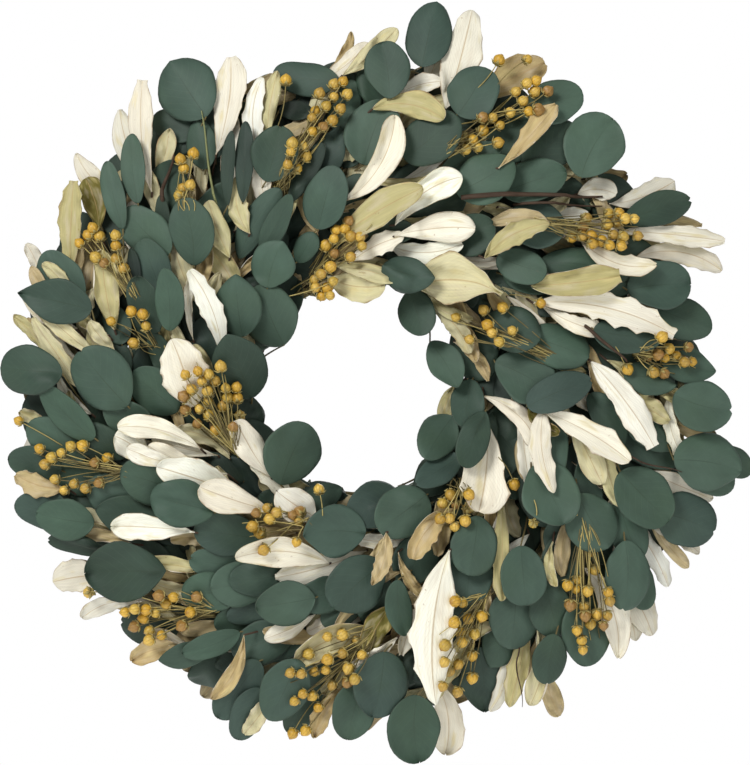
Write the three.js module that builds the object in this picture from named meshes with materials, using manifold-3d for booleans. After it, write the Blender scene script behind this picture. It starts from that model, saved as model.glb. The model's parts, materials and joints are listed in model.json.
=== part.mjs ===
// A dried-foliage door wreath on a two-rail wire frame.
//
// Frame: millimetres, +Z up, the wreath hangs in the XZ plane and its front faces -Y.
// The origin is the inside top of the hanger loop, where a hook carries the wreath.
// Inside the ring group the origin is the ring's centre on the rails' middle plane, and a
// place is given as a clock angle (degrees clockwise from the top, seen from the front), a
// radius and a depth towards the viewer.
//
// Every sprig lies on a shingle: a surface that rises towards the viewer as it runs
// clockwise from the sprig's cut end. All shingles have one shape and start SPRIG_PITCH
// apart, so neighbouring sprigs overlap like roof tiles and never touch.

import * as THREE from 'three';
import { mergeVertices } from 'three/addons/utils/BufferGeometryUtils.js';
import Module from 'manifold-3d';

const wasm = await Module();
wasm.setup();

// ---- driving dimensions ---------------------------------------------------------------
const OUTER_RAIL_R = 127;        // a 10 inch wreath frame
const INNER_RAIL_R = 85;
const RAIL_WIRE_R = 1.75;
const RAIL_SIDES = 6;
const RAIL_SEGMENTS = 40;

const BRACE_COUNT = 6;
const BRACE_WIRE_R = 1.2;
const BRACE_INSET = 1;           // brace ends stop this far inside the rails' outer edges
const BRACE_FIRST_CLOCK = 32.95; // each brace lies midway between two turns of binding wire
const SOLID_GAP = 0.3;

const SPRIG_COUNT = 48;
const SPRIG_PITCH = 360 / SPRIG_COUNT;
const KIND_COUNT = 3;            // the three plants take turns round the ring
const BASE_R = 106;              // cut ends lie midway between the rails
const BASE_DEPTH = 10;
const SHINGLE_RISE = 0.873;      // mm towards the viewer per degree of clock
const DOME_HEIGHT = 20;          // how far the front falls away from its crest
const DOME_CREST_R = 150;
const DOME_HALF_WIDTH = 130;

const STUB_BEFORE = 4;           // degrees of cut stem ends behind the binding wire
const STUB_AFTER = 3;
const STUB_WIDTH = 9;
const STEM_WIDTH = 2.6;
const STEM_THICKNESS = 1.8;
const STUB_THICKNESS = 2.2;
const LEAF_THICKNESS = 1.2;
const LEAF_STEPS = 4;
const LONG_LEAF = 75;            // longer leaves follow the dome in more steps
const LONG_LEAF_STEPS = 6;
const LEAF_JOIN = 1.5;           // how far a stem runs into its leaf
const LEAF_STEM_STEPS = 2;
const NECK_STEPS = 3;
const BOLL_R = 3.5;

const BINDING_WIRE_R = 0.6;
const BINDING_SIDES = 3;
const BINDING_LEAD = 2;          // degrees ahead of a sprig's base where the wire crosses
const BINDING_SLANT = 1.2;       // degrees the wire drifts down its inner side
const BINDING_BACK_DEPTH = -2.9;
const BINDING_OUTER_R = 130.8;
const BINDING_INNER_R = 81;
const BINDING_SHOULDER = 6;      // radial width of the bent shoulder at each edge
const BINDING_SHOULDER_DROP = 3;
const BINDING_DIP = 0.9;         // the wire pulls the cut ends down a little

const LOOP_WIRE_R = 0.9;
const LOOP_HALF_WIDTH = 6;
const LOOP_RISE = 30;            // rail axis to the inside top of the loop
const ARCH_STEP = 22.5;          // degrees between the points of the loop's round top
const EYE_R = 3.2;
const EYE_SEGMENTS = 12;

// How far clockwise of its base a leaf sits, in degrees: it sets how high the leaf lies.
const REACH = { top: 54, middle: 42 };

// ---- leaves: [clock, radius, heading of the tip, length, width] ------------------------
const EUCALYPTUS = {
  top: [
    [330, 258, 327, 52, 46], [314, 235, 355, 52, 19], [308, 233, 347, 52, 18],
    [313, 170, 350, 50, 34], [5, 237, 352, 44, 34], [11, 271, 13, 53, 35],
    [21, 236, 30, 42, 39], [340, 184, 15, 42, 36], [16, 192, 50, 50, 38],
    [350, 143, 15, 48, 33], [31, 181, 60, 48, 38], [44, 251, 30, 52, 46],
    [40, 201, 72, 50, 33], [59, 261, 72, 52, 26], [286, 236, 283, 58, 34],
    [273, 245, 275, 48, 38], [272, 190, 320, 54, 44], [295, 155, 357, 46, 22],
    [304, 109, 355, 46, 36], [280, 91, 340, 50, 44], [246, 169, 290, 46, 36],
    [246, 240, 280, 44, 32], [237, 156, 285, 48, 36], [23, 91, 105, 40, 28],
    [226, 70, 25, 50, 42], [190, 107, 270, 46, 40], [325, 112, 20, 36, 34],
    [53, 150, 110, 38, 28], [79, 202, 95, 52, 28], [91, 147, 68, 52, 28],
    [93, 255, 105, 46, 38], [102, 266, 100, 54, 44], [119, 161, 150, 48, 44],
    [111, 226, 135, 52, 42], [112, 264, 110, 48, 42], [120, 198, 150, 46, 40],
    [232, 220, 268, 60, 46], [210, 221, 250, 46, 20], [199, 168, 262, 44, 34],
    [181, 145, 230, 48, 42], [176, 221, 190, 50, 42], [171, 258, 178, 52, 40],
    [194, 231, 205, 52, 36], [144, 144, 190, 44, 36], [139, 184, 175, 44, 36],
    [125, 243, 182, 52, 36], [145, 246, 190, 38, 26],
  ],
  middle: [
    [350, 235, 280, 50, 27], [71, 236, 85, 48, 38], [241, 198, 290, 48, 34],
    [216, 188, 270, 44, 32], [207, 158, 262, 50, 28], [146, 206, 185, 48, 40],
  ],
};

const INTEGRIFOLIA = {
  top: [
    [5, 164, 32, 80, 24], [5, 130, 60, 78, 25], [25, 130, 85, 60, 24],
    [10, 213, 100, 55, 22], [34, 224, 42, 66, 20], [45, 160, 62, 55, 20],
    [291, 203, 352, 60, 24], [275, 130, 345, 52, 36], [298, 124, 340, 66, 20],
    [258, 150, 285, 64, 18], [240, 136, 290, 66, 32], [228, 124, 290, 55, 26],
    [240, 92, 330, 50, 22], [42, 108, 95, 66, 34], [121, 108, 198, 78, 30],
    [72, 192, 103, 108, 28], [64, 178, 84, 66, 24], [93, 197, 144, 78, 24],
    [101, 172, 120, 74, 24], [109, 142, 174, 64, 20], [236, 184, 274, 62, 24],
    [205, 133, 275, 70, 24], [154, 116, 222, 50, 22], [162, 181, 190, 124, 38],
    [172, 128, 195, 40, 14],
  ],
  middle: [
    [319, 249, 355, 85, 20], [335, 232, 8, 75, 28], [299, 247, 3, 70, 22],
    [17, 258, 15, 80, 32], [64, 262, 95, 78, 24], [281, 225, 310, 65, 16],
    [98, 235, 165, 60, 14], [131, 250, 158, 78, 24], [150, 240, 192, 66, 20],
    [138, 158, 180, 80, 16], [192, 136, 255, 70, 24], [186, 187, 250, 66, 26],
    [225, 187, 275, 60, 14], [357, 76, 100, 45, 24], [326, 163, 350, 45, 18],
    [253, 250, 285, 40, 22], [186, 240, 215, 50, 18], [165, 256, 172, 60, 24],
  ],
};

// ---- flax: one fan to a sprig, in the order of the sprigs round the ring ----------------
// [clock, radius, heading, spread of the fan, neck clock, neck radius]
const FLAX = [
  [62, 105, 95, 20, 50, 108], [84, 232, 100, 20, 80, 205], [132, 222, 178, 26, 124, 200],
  [140, 112, 205, 18, 130, 112], [157, 208, 183, 24, 149, 176], [188, 209, 220, 26, 178, 184],
  [212, 122, 268, 20, 203, 107], [221, 223, 255, 24, 213, 200], [255, 222, 282, 24, 250, 185],
  [266, 110, 335, 26, 246, 104], [299, 218, 335, 18, 292, 186], [321, 205, 5, 14, 314, 187],
  [353, 208, 30, 20, 341, 165], [356, 111, 50, 16, 344, 95], [26, 210, 65, 16, 20, 188],
  [57, 216, 92, 22, 49, 189],
];
// Each boll of a fan: [along the heading, across it], in units of the fan's spread.
const FAN = [[0.2, -0.8], [1.0, -0.25], [0.5, 0.8]];

// ---- colours ------------------------------------------------------------------------
const PAINT = {
  rail: new THREE.MeshStandardMaterial({ color: 0x2f3a2c, roughness: 0.45, metalness: 0.3 }),
  brace: new THREE.MeshStandardMaterial({ color: 0x2f3a2c, roughness: 0.45, metalness: 0.3 }),
  binding: new THREE.MeshStandardMaterial({ color: 0x3c4a35, roughness: 0.5, metalness: 0.4 }),
  loop: new THREE.MeshStandardMaterial({ color: 0x8b8d8c, roughness: 0.35, metalness: 0.9 }),
  eucalyptus: new THREE.MeshStandardMaterial({ color: 0x495e53, roughness: 0.8 }),
  integrifolia: new THREE.MeshStandardMaterial({ color: 0xe6decb, roughness: 0.75 }),
  flax: new THREE.MeshStandardMaterial({ color: 0xc9a03f, roughness: 0.7 }),
};

// ---- places on the ring ---------------------------------------------------------------
const radians = THREE.MathUtils.degToRad;

function dome(radius) {
  const fall = (r) => ((r - DOME_CREST_R) / DOME_HALF_WIDTH) ** 2;
  return DOME_HEIGHT * (fall(BASE_R) - fall(radius));
}

function shingleDepth(turn, radius) {
  return BASE_DEPTH + SHINGLE_RISE * turn + dome(radius);
}

function onRing(clock, radius, depth) {
  const a = radians(clock);
  return new THREE.Vector3(radius * Math.sin(a), -depth, radius * Math.cos(a));
}

// Moves a point drawn flat (x, z, height above the shingle) onto one sprig's shingle.
function lift(x, z, height, baseClock) {
  const radius = Math.hypot(x, z);
  const clock = THREE.MathUtils.radToDeg(Math.atan2(x, z));
  const turn = THREE.MathUtils.euclideanModulo(clock - baseClock + 90, 360) - 90;
  return [x, -(shingleDepth(turn, radius) + height), z];
}

// ---- solids ---------------------------------------------------------------------------
const MERGE_DISTANCE = 1e-4;
const ROUTE_STEP = 0.01;         // how far along a route its direction is taken over

function toSolid(geometry) {
  geometry.deleteAttribute('normal');
  geometry.deleteAttribute('uv');
  const merged = mergeVertices(geometry, MERGE_DISTANCE);
  const vertProperties = new Float32Array(merged.attributes.position.array);
  const triVerts = new Uint32Array(merged.index.array);
  return new wasm.Manifold(new wasm.Mesh({ numProp: 3, vertProperties, triVerts }));
}

function toGeometry(solid) {
  const mesh = solid.getMesh();
  const geometry = new THREE.BufferGeometry();
  geometry.setAttribute('position', new THREE.BufferAttribute(mesh.vertProperties, 3));
  geometry.setIndex(new THREE.BufferAttribute(mesh.triVerts, 1));
  geometry.computeVertexNormals();
  return geometry;
}

// A round wire's section, turned so that a flat faces the wall on wires laid behind.
function polygon(radius, sides) {
  const corners = [];
  for (let i = 0; i < sides; i += 1) {
    const a = (2 * Math.PI * (i + 0.5)) / sides;
    corners.push(new THREE.Vector2(radius * Math.cos(a), radius * Math.sin(a)));
  }
  return new THREE.Shape(corners);
}

// A path whose corners are kept exactly, one extrusion step from each to the next.
class Polyline extends THREE.Curve {
  constructor(points) {
    super();
    this.points = points;
  }

  getPoint(t) {
    const last = this.points.length - 1;
    const s = THREE.MathUtils.clamp(t, 0, 1) * last;
    const i = Math.min(Math.floor(s), last - 1);
    return this.points[i].clone().lerp(this.points[i + 1], s - i);
  }

  getPointAt(t) {
    return this.getPoint(t);
  }

  getTangentAt(t) {
    return this.getTangent(t);
  }
}

function wire(points, radius, sides) {
  const path = new Polyline(points);
  const steps = points.length - 1;
  return new THREE.ExtrudeGeometry(polygon(radius, sides), { steps, extrudePath: path });
}

// A strip along a flat route, lifted onto a shingle. route(t) gives [x, z]; halfWidth(t)
// its half width there; t runs from 0 to 1.
function ribbon(route, halfWidth, thickness, segments, baseClock) {
  const strip = new THREE.BoxGeometry(1, 1, 1, 1, 1, segments);
  const position = strip.attributes.position;
  for (let i = 0; i < position.count; i += 1) {
    const t = position.getZ(i) + 0.5;
    const [x, z] = route(t);
    const [x0, z0] = route(Math.max(t - ROUTE_STEP, 0));
    const [x1, z1] = route(Math.min(t + ROUTE_STEP, 1));
    const length = Math.hypot(x1 - x0, z1 - z0);
    const side = 2 * position.getX(i) * halfWidth(t);
    const px = x + (side * (z1 - z0)) / length;
    const pz = z - (side * (x1 - x0)) / length;
    position.setXYZ(i, ...lift(px, pz, position.getY(i) * thickness, baseClock));
  }
  return strip;
}

// The strip's own winding depends on which way it is laid, so an inside-out one is turned.
function ribbonSolid(...shape) {
  const strip = ribbon(...shape);
  const solid = toSolid(strip);
  if (solid.volume() > 0) return solid;
  const turned = ribbon(...shape);
  const index = turned.index.array;
  for (let i = 0; i < index.length; i += 3) {
    [index[i], index[i + 1]] = [index[i + 1], index[i]];
  }
  return toSolid(turned);
}

// ---- frame ----------------------------------------------------------------------------
function railGeometry(radius) {
  const ring = new THREE.TorusGeometry(radius, RAIL_WIRE_R, RAIL_SIDES, RAIL_SEGMENTS);
  return ring.rotateX(Math.PI / 2);
}

// Braces lie behind the rails, and their flat backs are what rests on the wall.
function braceGeometry(clock) {
  const depth = -(RAIL_WIRE_R + SOLID_GAP + BRACE_WIRE_R);
  const inner = onRing(clock, INNER_RAIL_R - RAIL_WIRE_R + BRACE_INSET, depth);
  const outer = onRing(clock, OUTER_RAIL_R + RAIL_WIRE_R - BRACE_INSET, depth);
  return wire([inner, outer], BRACE_WIRE_R, RAIL_SIDES);
}

// One wire wound round both rails, crossing in front of each sprig's cut end. It leaves out
// the top, where the hanger loop swings.
function bindingGeometry() {
  const points = [];
  const shoulderTurn = SPRIG_PITCH / 2 - BINDING_LEAD;
  const front = (radius) => shingleDepth(shoulderTurn, radius) - BINDING_DIP;
  for (let k = 1; k < SPRIG_COUNT; k += 1) {
    const clock = k * SPRIG_PITCH - BINDING_LEAD;
    const outer = BINDING_OUTER_R;
    const inner = BINDING_INNER_R;
    const outerTop = outer - BINDING_SHOULDER;
    const innerTop = inner + BINDING_SHOULDER;
    points.push(
      onRing(clock - SPRIG_PITCH + BINDING_SLANT, outer, BINDING_BACK_DEPTH),
      onRing(clock, outer, front(outer) - BINDING_SHOULDER_DROP),
      onRing(clock, outerTop, front(outerTop)),
      onRing(clock, innerTop, front(innerTop)),
      onRing(clock, inner, front(inner) - BINDING_SHOULDER_DROP),
      onRing(clock + BINDING_SLANT, inner, BINDING_BACK_DEPTH),
    );
  }
  return wire(points, BINDING_WIRE_R, BINDING_SIDES);
}

// An upturned U of wire whose two feet are eyes closed round the outer rail.
function hangerGeometry() {
  const axisZ = Math.sqrt(OUTER_RAIL_R ** 2 - LOOP_HALF_WIDTH ** 2);
  const archZ = OUTER_RAIL_R + LOOP_RISE + LOOP_WIRE_R - LOOP_HALF_WIDTH;
  const points = [new THREE.Vector3(-LOOP_HALF_WIDTH, 0, axisZ + EYE_R)];
  for (let a = 180; a >= 0; a -= ARCH_STEP) {
    const x = LOOP_HALF_WIDTH * Math.cos(radians(a));
    points.push(new THREE.Vector3(x, 0, archZ + LOOP_HALF_WIDTH * Math.sin(radians(a))));
  }
  points.push(new THREE.Vector3(LOOP_HALF_WIDTH, 0, axisZ + EYE_R));
  let loop = toSolid(wire(points, LOOP_WIRE_R, RAIL_SIDES));
  for (const x of [-LOOP_HALF_WIDTH, LOOP_HALF_WIDTH]) {
    const eye = new THREE.TorusGeometry(EYE_R, LOOP_WIRE_R, RAIL_SIDES, EYE_SEGMENTS);
    eye.rotateY(Math.PI / 2).translate(x, 0, axisZ);
    loop = loop.add(toSolid(eye));
  }
  return toGeometry(loop);
}

// ---- sprigs ---------------------------------------------------------------------------
const LEAF_OUTLINES = {
  eucalyptus: (t) => Math.sin(Math.PI * t) ** 0.65,
  integrifolia: (t) => Math.sin(Math.PI * t ** 1.35) ** 0.8,
};

function flat(clock, radius) {
  return [radius * Math.sin(radians(clock)), radius * Math.cos(radians(clock))];
}

function along([x, z], heading, distance) {
  const a = radians(heading);
  return [x + distance * Math.sin(a), z + distance * Math.cos(a)];
}

// A stem that spirals evenly from one place on the ring to another.
function stemSolid(fromClock, fromR, [toX, toZ], baseClock, segments) {
  const toR = Math.hypot(toX, toZ);
  const toClock = THREE.MathUtils.radToDeg(Math.atan2(toX, toZ));
  const turn = THREE.MathUtils.euclideanModulo(toClock - fromClock + 180, 360) - 180;
  const route = (t) => flat(fromClock + t * turn, fromR + t * (toR - fromR));
  return ribbonSolid(route, () => STEM_WIDTH / 2, STEM_THICKNESS, segments, baseClock);
}

function stubSolid(baseClock) {
  const sweep = STUB_BEFORE + STUB_AFTER;
  const route = (t) => flat(baseClock - STUB_BEFORE + t * sweep, BASE_R);
  return ribbonSolid(route, () => STUB_WIDTH / 2, STUB_THICKNESS, 1, baseClock);
}

function leafSolid(leaf, outline, baseClock) {
  const [clock, radius, heading, length, width] = leaf;
  const centre = flat(clock, radius);
  const route = (t) => along(centre, heading, (t - 0.5) * length);
  const halfWidth = (t) => Math.max(STEM_WIDTH / 3, (width / 2) * outline(t));
  const segments = length > LONG_LEAF ? LONG_LEAF_STEPS : LEAF_STEPS;
  return ribbonSolid(route, halfWidth, LEAF_THICKNESS, segments, baseClock);
}

function leafySprig(baseClock, leaves, outline) {
  let sprig = stubSolid(baseClock);
  for (const leaf of leaves) {
    const [clock, radius, heading, length] = leaf;
    const foot = along(flat(clock, radius), heading, LEAF_JOIN - length / 2);
    sprig = sprig.add(stemSolid(baseClock, BASE_R, foot, baseClock, LEAF_STEM_STEPS));
    sprig = sprig.add(leafSolid(leaf, outline, baseClock));
  }
  return toGeometry(sprig);
}

function flaxSprig(baseClock, [clock, radius, heading, spread, neckClock, neckR]) {
  const neck = flat(neckClock, neckR);
  const stem = stemSolid(baseClock, BASE_R, neck, baseClock, NECK_STEPS);
  let sprig = stubSolid(baseClock).add(stem);
  for (const [ahead, aside] of FAN) {
    const middle = along(flat(clock, radius), heading, ahead * spread);
    const tip = along(middle, heading + 90, aside * spread);
    const boll = new THREE.IcosahedronGeometry(BOLL_R, 0);
    boll.translate(...lift(tip[0], tip[1], 0, baseClock));
    sprig = sprig.add(stemSolid(neckClock, neckR, tip, baseClock, 1));
    sprig = sprig.add(toSolid(boll));
  }
  return toGeometry(sprig);
}

// ---- assembly -------------------------------------------------------------------------
const group = new THREE.Group();
const ring = new THREE.Group();
ring.position.z = -(OUTER_RAIL_R + LOOP_RISE);
group.add(ring);

function place(name, geometry, material) {
  const mesh = new THREE.Mesh(geometry, material.clone());
  mesh.name = name;
  ring.add(mesh);
}

// Deals each item to the sprig of its kind that starts nearest to `reach` behind it. Kinds
// take turns round the ring, so a kind owns every third sprig.
function deal(items, reach, kindIndex, hands) {
  const step = KIND_COUNT * SPRIG_PITCH;
  for (const item of items) {
    const start = item[0] - reach - kindIndex * SPRIG_PITCH;
    const n = THREE.MathUtils.euclideanModulo(Math.round(start / step), hands.length);
    hands[n].push(item);
  }
}

function makeHands() {
  return Array.from({ length: SPRIG_COUNT / KIND_COUNT }, () => []);
}

place('outer_rail', railGeometry(OUTER_RAIL_R), PAINT.rail);
place('inner_rail', railGeometry(INNER_RAIL_R), PAINT.rail);
for (let i = 0; i < BRACE_COUNT; i += 1) {
  const clock = BRACE_FIRST_CLOCK + i * (360 / BRACE_COUNT);
  place(`brace_${i + 1}`, braceGeometry(clock), PAINT.brace);
}
place('binding_wire', bindingGeometry(), PAINT.binding);
place('hanger_loop', hangerGeometry(), PAINT.loop);

const leafyKinds = [['eucalyptus', EUCALYPTUS], ['integrifolia', INTEGRIFOLIA]];
const flaxIndex = leafyKinds.length;
leafyKinds.forEach(([kind, leaves], kindIndex) => {
  const hands = makeHands();
  deal(leaves.top, REACH.top, kindIndex, hands);
  deal(leaves.middle, REACH.middle, kindIndex, hands);
  hands.forEach((hand, n) => {
    const baseClock = (KIND_COUNT * n + kindIndex) * SPRIG_PITCH;
    place(`${kind}_${n + 1}`, leafySprig(baseClock, hand, LEAF_OUTLINES[kind]), PAINT[kind]);
  });
});

FLAX.forEach((fan, n) => {
  const baseClock = (KIND_COUNT * n + flaxIndex) * SPRIG_PITCH;
  place(`flax_${n + 1}`, flaxSprig(baseClock, fan), PAINT.flax);
});

export default group;
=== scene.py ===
import json
import math
import random

import bpy
import numpy as np
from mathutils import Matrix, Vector


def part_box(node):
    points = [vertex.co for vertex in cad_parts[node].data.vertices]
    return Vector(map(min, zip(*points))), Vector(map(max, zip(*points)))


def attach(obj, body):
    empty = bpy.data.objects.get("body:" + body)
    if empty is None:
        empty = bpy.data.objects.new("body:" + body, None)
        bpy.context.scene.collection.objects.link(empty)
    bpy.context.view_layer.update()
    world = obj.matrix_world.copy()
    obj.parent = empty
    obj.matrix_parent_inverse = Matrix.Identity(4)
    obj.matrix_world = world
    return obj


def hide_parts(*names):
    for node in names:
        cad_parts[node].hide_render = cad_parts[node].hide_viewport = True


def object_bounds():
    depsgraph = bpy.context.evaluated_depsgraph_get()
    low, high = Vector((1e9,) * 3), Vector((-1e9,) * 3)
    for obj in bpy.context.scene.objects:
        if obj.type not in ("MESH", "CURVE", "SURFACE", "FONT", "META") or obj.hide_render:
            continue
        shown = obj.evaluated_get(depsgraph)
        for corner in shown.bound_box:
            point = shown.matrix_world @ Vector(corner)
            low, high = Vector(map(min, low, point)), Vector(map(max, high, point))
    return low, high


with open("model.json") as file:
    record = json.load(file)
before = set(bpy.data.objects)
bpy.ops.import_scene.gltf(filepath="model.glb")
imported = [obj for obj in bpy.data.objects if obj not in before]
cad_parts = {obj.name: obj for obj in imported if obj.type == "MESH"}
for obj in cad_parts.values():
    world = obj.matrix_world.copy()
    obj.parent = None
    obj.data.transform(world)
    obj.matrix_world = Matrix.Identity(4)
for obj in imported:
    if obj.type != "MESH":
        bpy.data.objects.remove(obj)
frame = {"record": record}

cad_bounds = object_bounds()

# ---- places worked out from the frame ----
MM = 0.001
rail_low, rail_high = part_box("outer_rail")
RING_X = (rail_low[0] + rail_high[0]) / 2
RING_Y = (rail_low[1] + rail_high[1]) / 2
RING_Z = (rail_low[2] + rail_high[2]) / 2

# ---- the shingled surfaces that the sprigs lie on, as in the CAD model (mm, degrees) ----
SPRIG_COUNT = 48
SPRIG_PITCH = 360 / SPRIG_COUNT
KINDS = ("eucalyptus", "integrifolia", "flax")
BASE_R = 106
BASE_DEPTH = 10
SHINGLE_RISE = 0.873
DOME_HEIGHT = 20
DOME_CREST_R = 150
DOME_HALF_WIDTH = 130

# How far clockwise of its sprig's cut end a leaf sits, in degrees, which sets how high it lies.
REACH = {"highest": 62, "top": 50, "middle": 38, "deep": 26, "fill": 12}
SETTLE = 0.85  # how far a leaf settles from its sprig's height to its reach's

# ---- eucalyptus leaves ----
# (clock, radius, heading of the tip, length, width)
EUCALYPTUS = {
    "top": [
        (330, 258, 327, 52, 46), (314, 235, 355, 52, 19), (308, 233, 347, 52, 18),
        (313, 170, 350, 50, 34), (5, 237, 352, 44, 34), (11, 271, 13, 53, 35),
        (21, 236, 30, 42, 39), (340, 184, 15, 42, 36), (16, 192, 50, 50, 38),
        (350, 143, 15, 48, 33), (31, 181, 60, 48, 38), (44, 251, 30, 52, 46),
        (40, 201, 72, 50, 33), (59, 261, 72, 52, 26), (286, 236, 283, 58, 34),
        (273, 245, 275, 48, 38), (272, 190, 320, 54, 44), (295, 155, 357, 46, 22),
        (304, 109, 355, 46, 36), (280, 91, 340, 50, 44), (246, 169, 290, 46, 36),
        (246, 240, 280, 44, 32), (237, 156, 285, 48, 36), (23, 91, 105, 40, 28),
        (226, 70, 25, 50, 42), (190, 107, 270, 46, 40), (325, 112, 20, 36, 34),
        (53, 150, 110, 38, 28), (79, 202, 95, 52, 28), (91, 147, 68, 52, 28),
        (93, 255, 105, 46, 38), (102, 266, 100, 54, 44), (119, 161, 150, 48, 44),
        (111, 226, 135, 52, 42), (112, 264, 110, 48, 42), (120, 198, 150, 46, 40),
        (232, 220, 268, 60, 46), (210, 221, 250, 46, 20), (199, 168, 262, 44, 34),
        (181, 145, 230, 48, 42), (176, 221, 190, 50, 42), (171, 258, 178, 52, 40),
        (194, 231, 205, 52, 36), (144, 144, 190, 44, 36), (139, 184, 175, 44, 36),
        (125, 243, 182, 52, 36), (145, 246, 190, 38, 26), (74, 67, 150, 40, 26),
        (114, 92, 200, 44, 24), (333, 136, 28, 48, 18), (265, 219, 316, 56, 24),
        (170, 165, 172, 42, 20), (329, 190, 3, 55, 11), (333, 188, 2, 60, 14),
    ],
    "middle": [
        (350, 235, 280, 50, 27), (71, 236, 85, 48, 38), (241, 198, 290, 48, 34),
        (216, 188, 270, 44, 32), (207, 158, 262, 50, 28), (146, 206, 185, 48, 40),
        (327, 217, 350, 38, 24), (306, 197, 315, 48, 34), (310, 191, 352, 42, 13),
        (3, 190, 20, 50, 42),
        (346, 165, 30, 50, 16), (26, 190, 68, 50, 22), (36, 140, 60, 38, 32),
        (11, 119, 95, 38, 20), (328, 146, 32, 60, 22), (339, 112, 30, 25, 18),
        (34, 258, 70, 48, 34), (38, 229, 45, 52, 36), (47, 178, 100, 45, 36),
        (290, 238, 325, 48, 34), (269, 152, 310, 44, 34), (291, 171, 340, 44, 26),
        (300, 178, 340, 46, 28), (297, 188, 355, 38, 10), (309, 86, 340, 48, 42),
        (260, 230, 300, 50, 36), (257, 250, 280, 42, 26), (258, 196, 290, 44, 28),
        (262, 173, 300, 42, 28), (246, 198, 290, 48, 34), (249, 254, 280, 44, 30),
        (37, 71, 165, 36, 28), (98, 81, 190, 36, 26), (122, 69, 215, 38, 30),
        (136, 85, 240, 40, 22), (173, 88, 250, 42, 36), (161, 98, 235, 44, 40),
        (78, 248, 110, 46, 32), (60, 185, 95, 54, 26), (78, 151, 110, 48, 34),
        (69, 122, 110, 42, 34), (86, 124, 120, 50, 40), (88, 216, 100, 40, 26),
        (86, 246, 110, 44, 28), (101, 288, 125, 36, 22), (97, 186, 150, 46, 24),
        (99, 222, 110, 44, 24), (107, 152, 180, 46, 20), (241, 241, 283, 46, 16),
        (213, 238, 255, 42, 20), (218, 166, 275, 48, 26), (211, 170, 265, 46, 34),
        (222, 146, 280, 50, 34), (202, 243, 215, 54, 30), (199, 258, 205, 44, 26),
        (190, 156, 255, 36, 28), (181, 240, 195, 48, 34), (150, 162, 190, 44, 38),
        (139, 217, 165, 44, 34), (137, 248, 178, 54, 38), (125, 256, 165, 40, 24),
        (118, 226, 160, 48, 30),
    ],
    "deep": [
        (325, 241, 285, 40, 26), (331, 222, 5, 45, 24), (316, 208, 20, 45, 34),
        (323, 172, 60, 42, 30), (347, 213, 100, 26, 16), (3, 230, 350, 44, 30),
        (358, 188, 10, 48, 34), (19, 213, 60, 40, 26), (23, 147, 70, 45, 30),
        (15, 160, 60, 40, 28), (352, 175, 30, 48, 26), (357, 212, 20, 40, 24),
        (356, 140, 25, 45, 22), (32, 222, 60, 50, 36), (64, 226, 95, 40, 30),
        (279, 150, 340, 40, 18), (285, 189, 340, 34, 22), (293, 140, 0, 40, 10),
        (254, 180, 300, 40, 26), (252, 222, 285, 44, 24), (247, 215, 285, 40, 24),
        (143, 92, 250, 40, 14), (200, 88, 250, 36, 20), (67, 206, 90, 38, 26),
        (58, 150, 100, 40, 20), (82, 178, 110, 40, 24), (83, 206, 100, 46, 20),
        (104, 272, 115, 44, 30), (102, 221, 110, 50, 26), (108, 208, 150, 34, 20),
        (113, 185, 170, 44, 22), (207, 193, 255, 44, 26), (162, 135, 210, 46, 34),
        (190, 245, 215, 44, 24), (201, 204, 250, 48, 34), (196, 200, 245, 44, 22),
        (205, 182, 255, 46, 24), (176, 158, 200, 40, 30), (184, 165, 235, 40, 24),
        (157, 238, 175, 50, 36), (127, 184, 190, 30, 20), (131, 202, 180, 50, 34),
        (151, 219, 200, 40, 30), (122, 212, 170, 40, 30),
    ],
}

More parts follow.
